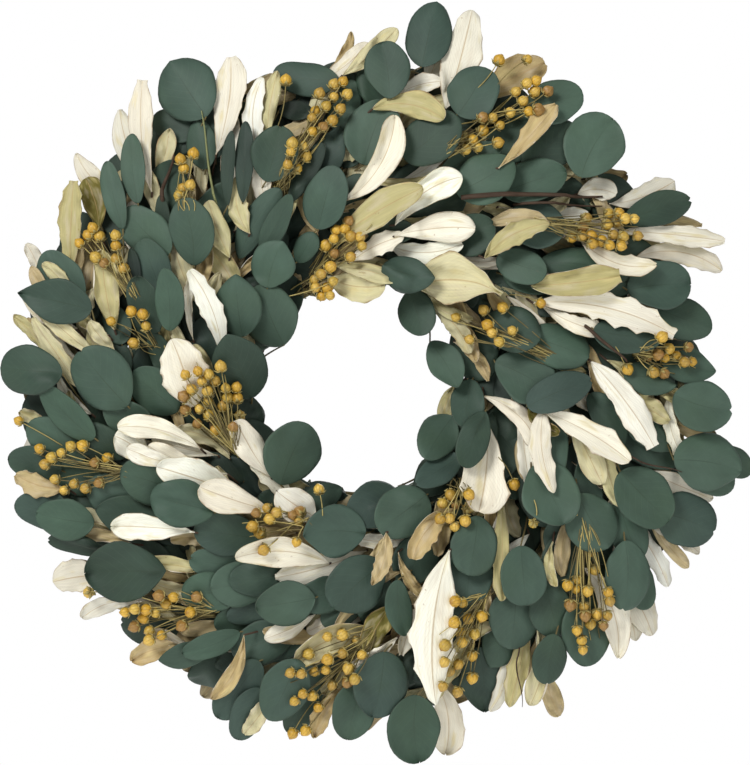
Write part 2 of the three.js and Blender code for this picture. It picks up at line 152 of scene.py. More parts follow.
# ---- integrifolia leaves by height and look ----
# (clock, radius, heading of the tip, length, width)
INTEGRIFOLIA = {
    ("highest", "cream"): [(163, 184, 185, 116, 40)],
    ("highest", "olive"): [(5, 130, 60, 78, 25)],
    ("top", "cream"): [
        (5, 164, 32, 80, 24), (25, 130, 85, 60, 24), (275, 130, 345, 52, 36),
        (298, 124, 340, 66, 20), (258, 150, 285, 64, 18), (240, 136, 290, 66, 32),
        (228, 124, 290, 55, 26), (240, 92, 330, 50, 22), (121, 110, 186, 70, 40),
        (72, 192, 103, 108, 28), (73, 165, 113, 52, 18), (93, 197, 144, 78, 24),
        (101, 172, 120, 74, 24), (109, 142, 174, 64, 20), (236, 184, 274, 62, 24),
        (205, 133, 275, 70, 24), (18, 151, 55, 62, 27), (246, 141, 291, 62, 18),
        (251, 160, 287, 44, 15), (209, 99, 126, 34, 24),
    ],
    ("top", "olive"): [
        (10, 213, 100, 55, 22), (45, 160, 62, 55, 20), (291, 203, 352, 60, 24),
        (42, 108, 95, 68, 42), (64, 178, 84, 66, 24), (133, 192, 176, 34, 11),
    ],
    ("top", "tan"): [
        (34, 224, 42, 66, 20), (154, 116, 222, 50, 22), (172, 128, 195, 40, 14),
        (204, 230, 207, 56, 13),
    ],
    ("middle", "cream"): [
        (319, 249, 355, 85, 20), (335, 232, 8, 75, 28), (338, 213, 357, 70, 20),
        (11, 231, 75, 34, 17), (17, 258, 15, 80, 32), (358, 243, 50, 42, 16),
        (334, 165, 350, 50, 16), (26, 112, 90, 55, 20), (6, 106, 65, 45, 18),
        (64, 262, 95, 78, 19), (295, 141, 0, 48, 8), (255, 172, 310, 36, 22),
        (251, 138, 285, 50, 14), (226, 92, 320, 55, 20), (64, 212, 108, 60, 20),
        (98, 235, 165, 60, 14), (110, 130, 175, 60, 14), (100, 120, 135, 60, 18),
        (192, 136, 255, 70, 24), (196, 186, 245, 42, 14), (177, 200, 240, 45, 12),
        (138, 153, 178, 70, 12), (131, 250, 158, 78, 24), (283, 240, 302, 50, 14),
    ],
    ("middle", "olive"): [
        (299, 247, 3, 70, 22), (318, 158, 340, 45, 22), (326, 163, 350, 45, 18),
        (2, 250, 48, 55, 18), (342, 218, 8, 60, 16), (340, 148, 5, 35, 9),
        (53, 197, 125, 35, 9), (281, 225, 310, 65, 16), (276, 226, 325, 70, 16),
        (281, 196, 320, 30, 14), (357, 76, 100, 45, 24), (87, 202, 130, 42, 14),
        (94, 214, 120, 40, 18), (91, 230, 120, 36, 14), (106, 176, 155, 50, 20),
        (108, 193, 165, 60, 18), (225, 187, 275, 60, 14), (197, 255, 215, 40, 16),
        (186, 187, 250, 66, 26), (138, 158, 180, 80, 16), (150, 240, 192, 66, 20),
        (147, 250, 185, 60, 20), (3, 87, 105, 55, 14), (289, 232, 326, 50, 12),
        (284, 212, 318, 44, 12), (279, 246, 318, 46, 11),
    ],
    ("middle", "tan"): [
        (42, 170, 85, 50, 14), (253, 250, 285, 40, 22), (218, 248, 255, 42, 20),
        (176, 145, 240, 45, 14), (166, 145, 150, 40, 10), (186, 240, 215, 50, 18),
        (287, 248, 338, 42, 12), (148, 178, 185, 42, 11),
        (174, 124, 205, 34, 10), (240, 222, 280, 46, 12),
    ],
    ("middle", "moss"): [
        (305, 243, 345, 40, 22), (101, 137, 130, 30, 14), (176, 178, 210, 40, 22),
    ],
    ("deep", "cream"): [
        (316, 252, 342, 60, 20), (308, 255, 315, 50, 16), (330, 195, 5, 70, 18),
        (13, 250, 20, 60, 20), (349, 205, 60, 35, 12), (50, 232, 90, 30, 18),
        (67, 262, 98, 70, 20), (56, 258, 70, 55, 24), (55, 207, 90, 50, 20),
        (48, 193, 90, 55, 12), (291, 262, 340, 35, 12), (278, 228, 320, 55, 12),
        (268, 218, 320, 40, 10), (261, 246, 215, 40, 14), (252, 152, 280, 45, 18),
        (107, 250, 113, 60, 18), (93, 167, 130, 36, 14), (236, 254, 262, 44, 28),
        (229, 244, 255, 58, 16), (216, 235, 300, 40, 12), (173, 102, 270, 30, 8),
        (181, 172, 250, 50, 10), (165, 256, 172, 60, 24), (128, 268, 150, 50, 24),
        (130, 264, 155, 45, 18), (119, 250, 148, 64, 18), (115, 262, 120, 50, 14),
        (153, 242, 188, 60, 14), (133, 217, 150, 40, 18),
    ],
    ("deep", "olive"): [
        (320, 228, 15, 40, 14), (313, 212, 345, 40, 14), (359, 160, 20, 50, 22),
        (43, 222, 60, 40, 16), (264, 242, 300, 35, 12), (303, 158, 340, 50, 22),
        (311, 131, 330, 45, 22), (102, 66, 195, 36, 14), (84, 153, 120, 35, 12),
        (57, 85, 140, 46, 18), (49, 86, 120, 40, 12),
        (110, 205, 150, 40, 12), (241, 213, 285, 62, 20), (220, 200, 278, 66, 14),
        (208, 182, 255, 50, 12), (198, 248, 235, 50, 14), (135, 150, 178, 60, 10),
    ],
    ("deep", "tan"): [
        (357, 247, 30, 45, 10), (343, 140, 340, 45, 12), (61, 262, 92, 60, 12),
        (26, 258, 58, 60, 34), (277, 235, 322, 60, 12), (75, 90, 140, 40, 10),
        (63, 88, 152, 44, 14), (97, 248, 110, 45, 14), (245, 240, 280, 50, 10),
        (222, 190, 280, 60, 12),
        (211, 208, 262, 55, 14), (117, 260, 142, 50, 14), (148, 270, 165, 44, 16),
    ],
}

# ---- flax fans ----
# (sprig, clock, radius, heading, half length, half width, seed pods, neck clock, neck radius)
FLAX = [
    (1, 62, 105, 95, 23, 17, 8, 82, 148), (2, 84, 232, 100, 23, 17, 11, 83, 206),
    (3, 132, 229, 178, 44, 17, 18, 120, 190), (4, 141, 110, 205, 21, 15, 9, 133, 101),
    (5, 158, 206, 184, 42, 20, 16, 148, 178), (6, 187, 211, 220, 34, 22, 19, 176, 182),
    (7, 212, 122, 268, 23, 17, 10, 203, 107), (8, 221, 223, 255, 34, 19, 15, 213, 198),
    (9, 255, 222, 282, 32, 20, 13, 250, 182), (10, 266, 110, 335, 30, 22, 22, 244, 104),
    (11, 299, 220, 335, 30, 18, 10, 291, 176), (11, 285, 177, 325, 19, 15, 5, 281, 152),
    (12, 321, 205, 5, 20, 7, 6, 315, 182), (13, 353, 208, 30, 26, 13, 12, 341, 168),
    (13, 345, 180, 20, 14, 7, 6, 338, 158), (14, 356, 111, 50, 22, 12, 10, 335, 90),
    (14, 342, 83, 15, 14, 9, 8, 325, 85), (15, 26, 210, 65, 20, 12, 9, 20, 186),
    (15, 30, 250, 55, 21, 13, 9, 24, 213), (16, 57, 216, 92, 30, 14, 18, 49, 184),
]
# ---- pods that stand alone ----
# (sprig, clock, radius, neck clock, neck radius)
STRAYS = [
    (8, 202, 81, 196, 100), (8, 206, 102, 198, 108), (6, 189, 259, 184, 222),
    (6, 191, 263, 186, 226), (9, 264.5, 256, 258, 222), (13, 346.5, 236, 341, 196),
    (15, 23, 266, 21, 236), (15, 27, 276, 24, 240), (2, 86, 199, 80, 190), (1, 65, 148, 58, 132),
    (4, 122, 135, 116, 112), (3, 128, 163, 122, 150), (8, 233, 254, 232, 245),
]

# ---- woody stems that lie on the leaves, all on eucalyptus sprigs ----
# (sprig, from clock, from radius, to clock, to radius, thickness, colour)
TWIGS = [
    (15, 28, 159, 51.5, 232, 3.8, "bark"), (15, 40, 178, 53, 227, 2.2, "bark"),
    (1, 74, 172, 85, 200, 2.8, "bark"), (12, 313, 200, 321, 224, 3.2, "bark"),
    (12, 322, 173, 330, 238, 1.9, "green"), (5, 148, 226, 153.5, 267, 1.2, "bark"),
    (3, 104, 205, 105, 247, 1.4, "bark"),
]

# ---- habits of the leaves that stand out, by (clock, radius) ----
def spoon(widest, tip, blunt, **more):
    """A smooth leaf, widest past its middle, with a rounded tip."""
    return {"widest": widest, "tip": tip, "blunt": blunt, "teeth": 0.0, **more}


def spade(widest, base, tip):
    """A round leaf that comes to a tip without a notch."""
    return {"widest": widest, "base": base, "tip": tip, "blunt": 0.02, "notch": 0.0}


SHOWN = {
    (163, 184): dict(teeth=0.3, tooth_count=5, bend=-15, widest=0.58, tip=0.72, base=1.1, blunt=0.03,
                     ripple=1.6, fold=0.0, cup=-3.0, curls=(0.5, 0.4)),
    (72, 192): dict(teeth=0.36, tooth_count=6, bend=18, widest=0.62, tip=0.6, base=0.9, blunt=0.4,
                    ripple=1.4, cup=-2.0, curls=(0.7, -0.5)),
    (42, 108): dict(teeth=0.16, tooth_count=3, ripple=3.4, ripples=1.7, fold=4.0, widest=0.44, tip=1.5,
                    base=1.2, blunt=0.1, bend=30, curls=(0.3, 1.6), crease=6.0),
    (121, 110): dict(teeth=0.14, tooth_count=4, widest=0.78, tip=0.4, base=1.5, blunt=0.2, bend=10,
                     cup=-1.5, curls=(0.15, 0.15)),
    (101, 172): dict(teeth=0.26, tooth_count=3, widest=0.7, tip=0.42, base=0.9, blunt=0.2, bend=10,
                     curls=(0.4, 0.4)),
    (93, 197): dict(teeth=0.14, tooth_count=6, widest=0.6, tip=0.4, base=0.7, blunt=0.5, bend=8,
                    curls=(0.4, 0.5)),
    (64, 178): dict(teeth=0.05, tooth_count=4, widest=0.6, tip=0.35, base=0.5, blunt=0.5, bend=-6,
                    curls=(1.7, 1.3), ripple=2.0),
    (275, 130): dict(teeth=0.13, tooth_count=5, widest=0.5, tip=0.5, base=0.6, blunt=0.1, bend=-8,
                     cup=-3.5, curls=(0.3, 0.5)),
    (258, 150): spoon(0.7, 0.45, 0.2),
    (246, 141): spoon(0.7, 0.42, 0.1, curls=(0.4, 0.5)),
    (251, 160): spoon(0.7, 0.42, 0.1, curls=(0.4, 0.5)),
    (209, 99): dict(widest=0.55, tip=0.45, base=0.5, teeth=0.0, curls=(0.3, 0.4)),
    (240, 136): dict(widest=0.62, tip=0.5, blunt=0.1, teeth=0.05),
    (228, 124): spoon(0.68, 0.45, 0.2),
    (5, 130): dict(teeth=0.06, tooth_count=4, ripple=1.6, widest=0.6, tip=0.5, fold=2.0, blunt=0.1,
                   curls=(0.3, 0.6)),
    (5, 164): spoon(0.68, 0.5, 0.1),
    (25, 130): spoon(0.66, 0.45, 0.2),
    (18, 151): spoon(0.66, 0.5, 0.1),
    (335, 232): dict(teeth=0.1, fold=4.0, blunt=0.3, ripple=2.2, curls=(1.4, 1.6)),
    (319, 249): dict(teeth=0.1, blunt=0.4, ripple=2.2, curls=(1.2, 0.6)),
    (299, 247): dict(ripple=2.4, blunt=0.4, curls=(1.0, 2.0)),
    (281, 225): dict(ripple=2.0, blunt=0.3, curls=(2.2, 0.8)),
    (330, 258): spade(0.5, 0.55, 0.48),
    (286, 236): spade(0.4, 0.5, 0.95),
    (102, 266): dict(tip=0.6, base=0.5, widest=0.45),
    (232, 220): spade(0.52, 0.75, 0.5),
    (64, 262): dict(ripple=3.2, blunt=0.2, teeth=0.2, curls=(1.3, 0.9)),
    (67, 262): dict(ripple=3.2, blunt=0.2, teeth=0.16, curls=(1.6, -0.9)),
}


# ---- colours, linear ----
def srgb(red, green, blue):
    def linear(value):
        value /= 255
        return value / 12.92 if value <= 0.04045 else ((value + 0.055) / 1.055) ** 2.4
    return (linear(red), linear(green), linear(blue))


EUCALYPTUS_COLOURS = [srgb(72, 93, 79), srgb(64, 84, 72), srgb(59, 77, 69), srgb(63, 85, 70),
                      srgb(52, 70, 58)]
INTEGRIFOLIA_COLOURS = {
    "cream": [srgb(251, 248, 232), srgb(245, 240, 220), srgb(237, 230, 210)],
    "olive": [srgb(208, 201, 152), srgb(190, 181, 128), srgb(216, 209, 168)],
    "tan": [srgb(196, 174, 124), srgb(208, 190, 146)],
    "moss": [srgb(108, 104, 40), srgb(120, 112, 52)],
}
BACK_OF = {"cream": "olive", "olive": "cream", "tan": "cream", "moss": "tan"}
# painted shade: each leaf's colour is darkened by its level, the lowest leaves most, as if shaded by
# the leaves above
PAINTED_SHADE_BY_LEVEL = {"highest": 1.0, "top": 1.0, "middle": 0.96, "deep": 0.82, "fill": 0.52}
POD_COLOURS = [srgb(211, 169, 60), srgb(200, 157, 50), srgb(219, 183, 84), srgb(182, 148, 64),
               srgb(200, 168, 72)]
OPEN_POD = srgb(158, 122, 62)
STRAW = srgb(176, 160, 100)
STRAW_TINT = (*STRAW, 0.5)
BARK = srgb(70, 54, 42)
TWIG = srgb(104, 94, 60)
TWIG_COLOURS = {"bark": BARK, "green": srgb(132, 136, 92)}


# ---- places on the ring ----
def flat(clock, radius):
    a = math.radians(clock)
    return (radius * math.sin(a), radius * math.cos(a))


def along(point, heading, distance):
    a = math.radians(heading)
    return (point[0] + distance * math.sin(a), point[1] + distance * math.cos(a))


def clock_of(point):
    return math.degrees(math.atan2(point[0], point[1])) % 360


def turn_between(from_clock, to_clock):
    """Clockwise degrees from one clock place to the other, between -90 and 270."""
    return (to_clock - from_clock + 90) % 360 - 90


def dome(radius):
    def fall(r):
        return ((r - DOME_CREST_R) / DOME_HALF_WIDTH) ** 2
    return DOME_HEIGHT * (fall(BASE_R) - fall(radius))


def shingle_depth(x, z, base_clock, settle):
    """How far the sprig's shingle stands before the rails, in mm. Takes numbers or arrays."""
    turn = turn_between(base_clock, np.degrees(np.arctan2(x, z))) + settle
    return BASE_DEPTH + SHINGLE_RISE * turn + dome(np.hypot(x, z))


def place_at(point, depth):
    """A point drawn flat and its depth, in metres in the row frame."""
    return Vector((RING_X + point[0] * MM, RING_Y - depth * MM, RING_Z + point[1] * MM))


def ring_place(clock, radius, depth):
    return place_at(flat(clock, radius), depth)


def steps(count):
    """The parts of a way from 0 to 1 in equal steps."""
    return [i / count for i in range(count + 1)]


def base_clock_of(kind, number):
    return (3 * (number - 1) + KINDS.index(kind)) * SPRIG_PITCH


def sprig_for(kind, clock, reach):
    """The sprig of that kind whose cut end lies nearest to `reach` behind the clock place."""
    start = clock - reach - KINDS.index(kind) * SPRIG_PITCH
    return round(start / (3 * SPRIG_PITCH)) % (SPRIG_COUNT // 3) + 1


# ---- mesh making ----
TINY = 1e-12  # keeps a division by a length off zero
TUBE_SIDE = Vector((0.3, -0.8, 0.52))  # the way a tube's first seam faces, across most routes


class Sketch:
    """Gathers the faces of one piece, with a UV and a tint for each vertex. The tint's fourth
    number is one leaf's or stem's own chance, which shifts its pattern."""

    def __init__(self):
        self.points = []
        self.faces = []
        self.uvs = []
        self.tints = []
        self.slots = []

    def add(self, points, faces, uvs, tints, slot):
        start = len(self.points)
        self.points += points
        self.uvs += uvs
        self.tints += tints
        for face in faces:
            self.faces.append([start + i for i in face])
            self.slots.append(slot)

    def finish(self, name, materials):
        mesh = bpy.data.meshes.new(name)
        mesh.from_pydata(self.points, [], self.faces)
        for material in materials:
            mesh.materials.append(material)
        mesh.polygons.foreach_set("material_index", self.slots)
        mesh.polygons.foreach_set("use_smooth", [True] * len(self.faces))
        uv_layer = mesh.uv_layers.new(name="leaf")
        corners = [0] * len(mesh.loops)
        mesh.loops.foreach_get("vertex_index", corners)
        uv_layer.data.foreach_set("uv", [value for i in corners for value in self.uvs[i]])
        tint = mesh.attributes.new("tint", "FLOAT_COLOR", "POINT")
        tint.data.foreach_set("color", [value for t in self.tints for value in t])
        mesh.validate()
        piece = bpy.data.objects.new(name, mesh)
        bpy.context.collection.objects.link(piece)
        return piece


def ring_faces(rings, sides, closed=False):
    """The faces round a row of rings of points, capped at both ends or joined into one ring."""
    faces = []
    for i in range(rings if closed else rings - 1):
        low, high = i * sides, (i + 1) % rings * sides
        for j in range(sides):
            k = (j + 1) % sides
            faces.append([low + j, low + k, high + k, high + j])
    if not closed:
        faces.append(list(reversed(range(sides))))
        faces.append([(rings - 1) * sides + j for j in range(sides)])
    return faces


def tube(sketch, route, radii, tint, slot, sides=6, closed=False):
    """A round wire or stem along a list of points, closed at both ends or into a ring."""
    points, uvs = [], []
    side = TUBE_SIDE
    count = len(route)
    for i, here in enumerate(route):
        after = route[(i + 1) % count] if closed else route[min(i + 1, count - 1)]
        before = route[i - 1] if closed else route[max(i - 1, 0)]
        ahead = after - before
        side = (side - ahead * (side.dot(ahead) / max(ahead.length_squared, TINY))).normalized()
        other = ahead.normalized().cross(side)
        for j in range(sides):
            a = math.tau * j / sides
            points.append(here + (side * math.cos(a) + other * math.sin(a)) * radii[i])
            uvs.append((j / sides, i / count))
    sketch.add(points, ring_faces(count, sides, closed), uvs, [tint] * len(points), slot)


# ---- the pile: how high the leaves laid so far reach ----
PILE_CELL = 2.0
PILE_HALF = 320
PILE_GAP = 1.0  # between the middles of a leaf and of what it rests on
NEAR_CELLS = 2  # this many cells to each side of a place are near it
MOST_RAISE = 15.0
MOST_SINK = 4.0
MOST_DEPTH = 88.0  # no leaf or pod is raised past this, a leaf's bends aside
MOST_BEND = 12.0
BEND_ROUNDS = 4
FINER = 4  # a grid halved twice has this many steps to each old one
AROUND = FINER - 1  # the finer places between two old ones


def halved(grid):
    """The same grid with a point midway between each two."""
    rows = np.empty((2 * grid.shape[0] - 1, grid.shape[1]))
    rows[::2] = grid
    rows[1::2] = (grid[1:] + grid[:-1]) / 2
    full = np.empty((rows.shape[0], 2 * rows.shape[1] - 1))
    full[:, ::2] = rows
    full[:, 1::2] = (rows[:, 1:] + rows[:, :-1]) / 2
    return full


def softened(grid):
    """Each point of a grid averaged with its neighbours along and across."""
    for axis in (0, 1):
        grid = np.moveaxis(grid, axis, 0)
        grid = (np.vstack([grid[:1], grid[:-1]]) + 2 * grid + np.vstack([grid[1:], grid[-1:]])) / 4
        grid = np.moveaxis(grid, 0, axis)
    return grid


def most_around(fine):
    """Back from a grid halved twice to the old one: the largest value around each old point."""
    padded = np.pad(fine, AROUND, mode="edge")
    window = range(2 * AROUND + 1)
    rows = np.max([padded[k:k + fine.shape[0]:FINER] for k in window], axis=0)
    return np.max([rows[:, k:k + fine.shape[1]:FINER] for k in window], axis=0)


class Pile:
    """A grid over the ring's plane that holds the depth of the uppermost leaf."""

    def __init__(self):
        cells = int(2 * PILE_HALF / PILE_CELL)
        self.top = np.zeros((cells, cells))

    def cells(self, x, z):
        return tuple(((axis + PILE_HALF) / PILE_CELL).astype(int) for axis in (x, z))

    def cell(self, point):
        return tuple(int((value + PILE_HALF) / PILE_CELL) for value in point)

    def top_at(self, point):
        return self.top[self.cell(point)]

    def tops_near(self, point):
        """The tops in the cells around a point."""
        i, j = self.cell(point)
        return self.top[i - NEAR_CELLS:i + NEAR_CELLS + 1, j - NEAR_CELLS:j + NEAR_CELLS + 1]

    def lay(self, x, z, depth):
        """Settles a leaf onto the pile and bends it over what it would still cut through."""
        fine_x, fine_z = halved(halved(x)), halved(halved(z))
        cells = self.cells(fine_x, fine_z)
        short = self.top[cells] - halved(halved(depth)) + PILE_GAP
        move = min(max(float(short.max()), -MOST_SINK), MOST_RAISE, MOST_DEPTH - float(depth.max()))
        depth = depth + move
        lift = np.clip(most_around(short) - move, 0, MOST_BEND)
        for _ in range(BEND_ROUNDS):
            lift = np.maximum(lift, softened(lift))
        depth = depth + lift
        np.maximum.at(self.top, cells, halved(halved(depth)))
        return depth


# ---- leaves ----
LEAF_HALF_THICKNESS = 0.2
RIB_HEIGHT = 0.25
THINNEST_HALF = 0.025  # of a leaf's half width, where its stalk meets it
FLAT_PART = 0.42  # the part of a half width that its margin's curl leaves flat
NOTCH_FROM = 0.8  # the part along a leaf where its tip's notch begins
SIDE_VEINS = 9
VEIN_SLANT = 0.3
CREASES = ((2.6, 0.9), (1.9, -0.7))  # how often each set of creases runs along and across
CURL_VARIES = 0.25  # the part of a margin's curl that comes and goes
CURL_FADE = 0.6
CUP_FROM = 3  # a leaf is flat at its stalk and cupped from a third of its length


def both_sides(*half):
    """The places across a leaf, from margin to margin, for the given places on one half."""
    return np.array([-place for place in reversed(half)] + [0.0, *half])


COLUMNS = {
    "eucalyptus": both_sides(0.14, 0.4, 0.68, 0.88, 1.0),
    "integrifolia": both_sides(0.1, 0.28, 0.46, 0.62, 0.76, 0.88, 1.0),
}


def eucalyptus_habit(rng, width):
    """How one round leaf is shaped, bent and curled, in mm, degrees and parts of its size."""
    pointed = rng.random() < 0.12
    notched = not pointed and rng.random() < 0.2
    return dict(
        rows=16, widest=rng.uniform(0.42, 0.56), base=rng.uniform(0.45, 0.62),
        tip=0.7 if pointed else rng.uniform(0.4, 0.5), blunt=0.14 if notched else 0.02,
        notch=0.03 if notched else 0.0, bend=rng.uniform(-16, 16),
        cup=rng.uniform(-0.14, 0.05) * width, curl=rng.uniform(-2.6, 1.2),
        twist=rng.uniform(-0.09, 0.09), ripple=rng.uniform(0.2, 0.9),
        ripples=rng.uniform(0.9, 2.0), uneven=0.035, teeth=0.0, tooth_count=0,
        fold=rng.choice((0.0, 0.0, 0.12)) * width,
        curls=(rng.uniform(-0.5, 0.3), rng.uniform(-0.5, 0.3)), quilt=0.05, crease=0.0,
    )


def integrifolia_habit(rng, width):
    """How one long leaf is shaped, toothed, creased and curled."""
    gentle, rolled = (0.2, 0.9), (1.4, 2.6)
    left, right = (rng.uniform(*rng.choice((gentle, gentle, rolled))) for _ in range(2))
    return dict(
        rows=36, widest=rng.uniform(0.5, 0.74), base=rng.uniform(0.75, 1.3),
        tip=rng.uniform(0.36, 0.6), blunt=rng.choice((0.03, 0.06, 0.12, 0.24)),
        notch=0.0, bend=rng.uniform(-32, 32),
        cup=rng.uniform(-0.18, 0.1) * width, curl=rng.uniform(-4, 2.5),
        twist=rng.uniform(-0.2, 0.2), ripple=rng.uniform(0.7, 2.1),
        ripples=rng.uniform(1.6, 3.4), uneven=0.1,
        teeth=rng.choice((0.0, 0.1, 0.22)), tooth_count=rng.choice((4, 5, 6)),
        fold=rng.choice((0.0, 0.0, 0.25)) * width,
        curls=(left, right * rng.choice((1, 1, -1))), quilt=0.28, crease=0.5,
    )


HABITS = {"eucalyptus": eucalyptus_habit, "integrifolia": integrifolia_habit}
SHRIVELLED = ("olive", "tan", "moss")  # these looks ripple, curl and crease more than the others
SHRIVELLED_RIPPLE = 1.6
SHRIVELLED_CURL = 1.3
SHRIVELLED_CREASE = 3.2


def habit_of(kind, look, place, rng):
    """The habit of one leaf: its kind's, changed by its look and by what is shown of it."""
    habit = HABITS[kind](rng, place[-1])
    if look in SHRIVELLED:
        habit["ripple"] *= SHRIVELLED_RIPPLE
        habit["curls"] = [SHRIVELLED_CURL * curl for curl in habit["curls"]]
        habit["crease"] = SHRIVELLED_CREASE
    return {**habit, **SHOWN.get(place[:2], {})}


def half_width(s, habit, width):
    """Half a leaf's width along it: round or tapered at the base, pointed or blunt at the tip."""
    widest = habit["widest"]
    opening = np.sin(np.pi / 2 * np.clip(s / widest, 0, 1)) ** habit["base"]
    closing = np.sin(np.pi / 2 * np.clip((1 - s) / (1 - widest), 0, 1)) ** habit["tip"]
    least = np.where(s < widest, THINNEST_HALF, habit["blunt"])
    return width / 2 * np.maximum(np.minimum(opening, closing), least)


def margin_shape(s, c, habit, edge):
    """How far the margin stands in or out, as a part of the half width: waves and teeth."""
    waves = habit["uneven"] * (np.sin(5.3 * s + edge) + 0.5 * np.sin(13 * s + 2 * edge))
    tooth = (habit["tooth_count"] * s + edge) % 1.0
    between_teeth = 1 - np.abs(2 * tooth - 1) ** 2.2
    dents = habit["teeth"] * between_teeth * np.clip(5 * (s - 0.2), 0, 1)
    return 1 + (waves - dents) * np.abs(c) ** 3


def curled(distance, half, angle):
    """A margin that curls through an angle: how far across its points lie, and how high."""
    start = FLAT_PART * half
    rest = half - start
    most = np.where(np.abs(angle) < 0.01, 0.01, angle)
    turned = np.clip((distance - start) / rest, 0, None) * most
    across = np.minimum(distance, start) + rest * np.sin(turned) / most
    return across, rest * (1 - np.cos(turned)) / most


def ridged(value):
    """A wave with straight flanks and sharp crests, between 0 and 1, once for each whole number."""
    return np.abs(2 * (value % 1.0) - 1)


def leaf_grid(kind, place, habit, rng):
    """A leaf as a grid of points: x and z drawn flat, and the height over its shingle."""
    clock, radius, heading, length, width = place
    phase = rng.uniform(0, math.tau)
    edges = (rng.uniform(0, math.tau), rng.uniform(0, math.tau))
    rows = habit["rows"]
    stations = (1 - np.cos(np.pi * np.arange(rows + 1) / rows)) / 2
    s, c = np.meshgrid(stations, COLUMNS[kind], indexing="ij")
    off_rib = np.abs(c)
    half = half_width(s, habit, width)
    distance = half * off_rib * margin_shape(s, c, habit, np.where(c < 0, *edges))
    varies = 1 - CURL_VARIES + CURL_VARIES * np.sin(6 * s + phase)
    angle = np.where(c < 0, *habit["curls"]) * varies
    across, rise = curled(distance, half, angle * np.clip(np.sin(np.pi * s), 0, 1) ** CURL_FADE)
    reach = np.sign(c) * across
    notch = habit["notch"] * np.clip((s - NOTCH_FROM) / (1 - NOTCH_FROM), 0, 1)
    ahead = length * (s - 0.5 - notch * (1 - off_rib) ** 2)
    spine = np.radians(heading + habit["bend"] * (s - 0.5))
    crossing = np.radians(heading + 2 * habit["bend"] * (s - 0.5))
    middle = flat(clock, radius)
    x = middle[0] + ahead * np.sin(spine) + reach * np.cos(crossing)
    z = middle[1] + ahead * np.cos(spine) - reach * np.sin(crossing)
    wave = np.sin(math.tau * habit["ripples"] * s + phase + c)
    veins = np.cos(math.tau * SIDE_VEINS * (s - VEIN_SLANT * off_rib))
    creases = 1.0
    for (along_leaf, across_leaf), start in zip(CREASES, (phase, edges[0])):
        creases = creases * ridged(along_leaf * s + across_leaf * c + start)
    height = (rise + habit["cup"] * c * c * np.minimum(1, CUP_FROM * s)
              + habit["curl"] * (2 * s - 1) ** 2
              + habit["twist"] * reach * (2 * s - 1)
              + habit["ripple"] * wave * c * c
              + habit["fold"] * off_rib * np.sqrt(s)
              + habit["quilt"] * 4 * off_rib * (1 - off_rib) * veins
              + habit["crease"] * creases
              + np.where(c == 0, RIB_HEIGHT, 0))
    return s, c, x, z, height


def leaf_faces(rows, wide):
    """The faces of two layers of a grid of points and of the rim that joins them. Each pair of
    quads starts at the same corner, so both split along one diagonal and cannot cross."""
    count = (rows + 1) * wide
    faces = []
    for i in range(rows):
        for j in range(wide - 1):
            a = i * wide + j
            faces.append([a, a + 1, a + wide + 1, a + wide])
            faces.append([count + q for q in (a, a + wide, a + wide + 1, a + 1)])
    rim = list(range(wide))
    rim += [i * wide + wide - 1 for i in range(1, rows + 1)]
    rim += [rows * wide + j for j in range(wide - 2, -1, -1)]
    rim += [i * wide for i in range(rows - 1, 0, -1)]
    for here, after in zip(rim, rim[1:] + rim[:1]):
        faces.append([after, here, count + here, count + after])
    return faces


def leaf(sketch, kind, look, place, tints, rng, base_clock, settle, pile):
    """One thin closed leaf laid on the pile. Returns where its stalk meets it."""
    habit = habit_of(kind, look, place, rng)
    s, c, x, z, height = leaf_grid(kind, place, habit, rng)
    depth = shingle_depth(x, z, base_clock, settle) + height
    depth = pile.lay(x, z, depth)
    middle = np.stack([RING_X + x * MM, RING_Y - depth * MM, RING_Z + z * MM], axis=-1)
    facing = np.cross(np.gradient(middle, axis=1), np.gradient(middle, axis=0))
    facing /= np.maximum(np.linalg.norm(facing, axis=-1, keepdims=True), TINY)
    points = []
    for layer in (middle + facing * LEAF_HALF_THICKNESS * MM,
                  middle - facing * LEAF_HALF_THICKNESS * MM):
        points += [Vector(point) for point in layer.reshape(-1, 3)]
    rows, wide = x.shape[0] - 1, x.shape[1]
    uvs = [((across + 1) / 2, ahead) for across, ahead in zip(c.flat, s.flat)]
    faces = leaf_faces(rows, wide)
    sketch.add(points, faces, uvs + uvs, [tints[0]] * x.size + [tints[1]] * x.size, 0)
    rib = wide // 2
    return (x[0, rib], z[0, rib]), depth[0, rib]


STALK_STEPS = 12
STALK_LEAD = 4  # degrees by which a stalk's cut end comes before its sprig's
STALK_SPREAD = 5  # mm by which cut ends differ in radius
STALK_LOOSE = 1.5  # mm by which they differ in depth
STALK_SWAY = 3
STALK_DIVE = 4.0  # how steeply a stalk goes down under the leaves behind its own
STALK_SAG = 4.0


def stalk(sketch, foot, foot_depth, base_clock, radii, tint, rng):
    """A stem from the sprig's cut end, low under the leaves, up to a leaf's or a fan's foot."""
    turn = turn_between(base_clock, clock_of(foot))
    foot_r = math.hypot(*foot)
    start_r = BASE_R + rng.uniform(-STALK_SPREAD, STALK_SPREAD)
    start_depth = BASE_DEPTH + rng.uniform(-STALK_LOOSE, STALK_LOOSE)
    sway = rng.uniform(-STALK_SWAY, STALK_SWAY)
    route, thickness = [], []
    for t in steps(STALK_STEPS):
        radius = start_r + (foot_r - start_r) * t + sway * math.sin(math.pi * t)
        point = flat(base_clock - STALK_LEAD * (1 - t) + turn * t, radius)
        depth = start_depth + (foot_depth - start_depth) * t ** STALK_DIVE
        route.append(place_at(point, depth - STALK_SAG * math.sin(math.pi * t)))
        thickness.append((radii[0] + (radii[1] - radii[0]) * t) * MM)
    tube(sketch, route, thickness, tint, 1)


LIGHTEST = 0.95  # no leaf is whiter than this
LEAF_SPREAD = {"eucalyptus": 0.12, "integrifolia": 0.07}  # how far leaves differ in lightness


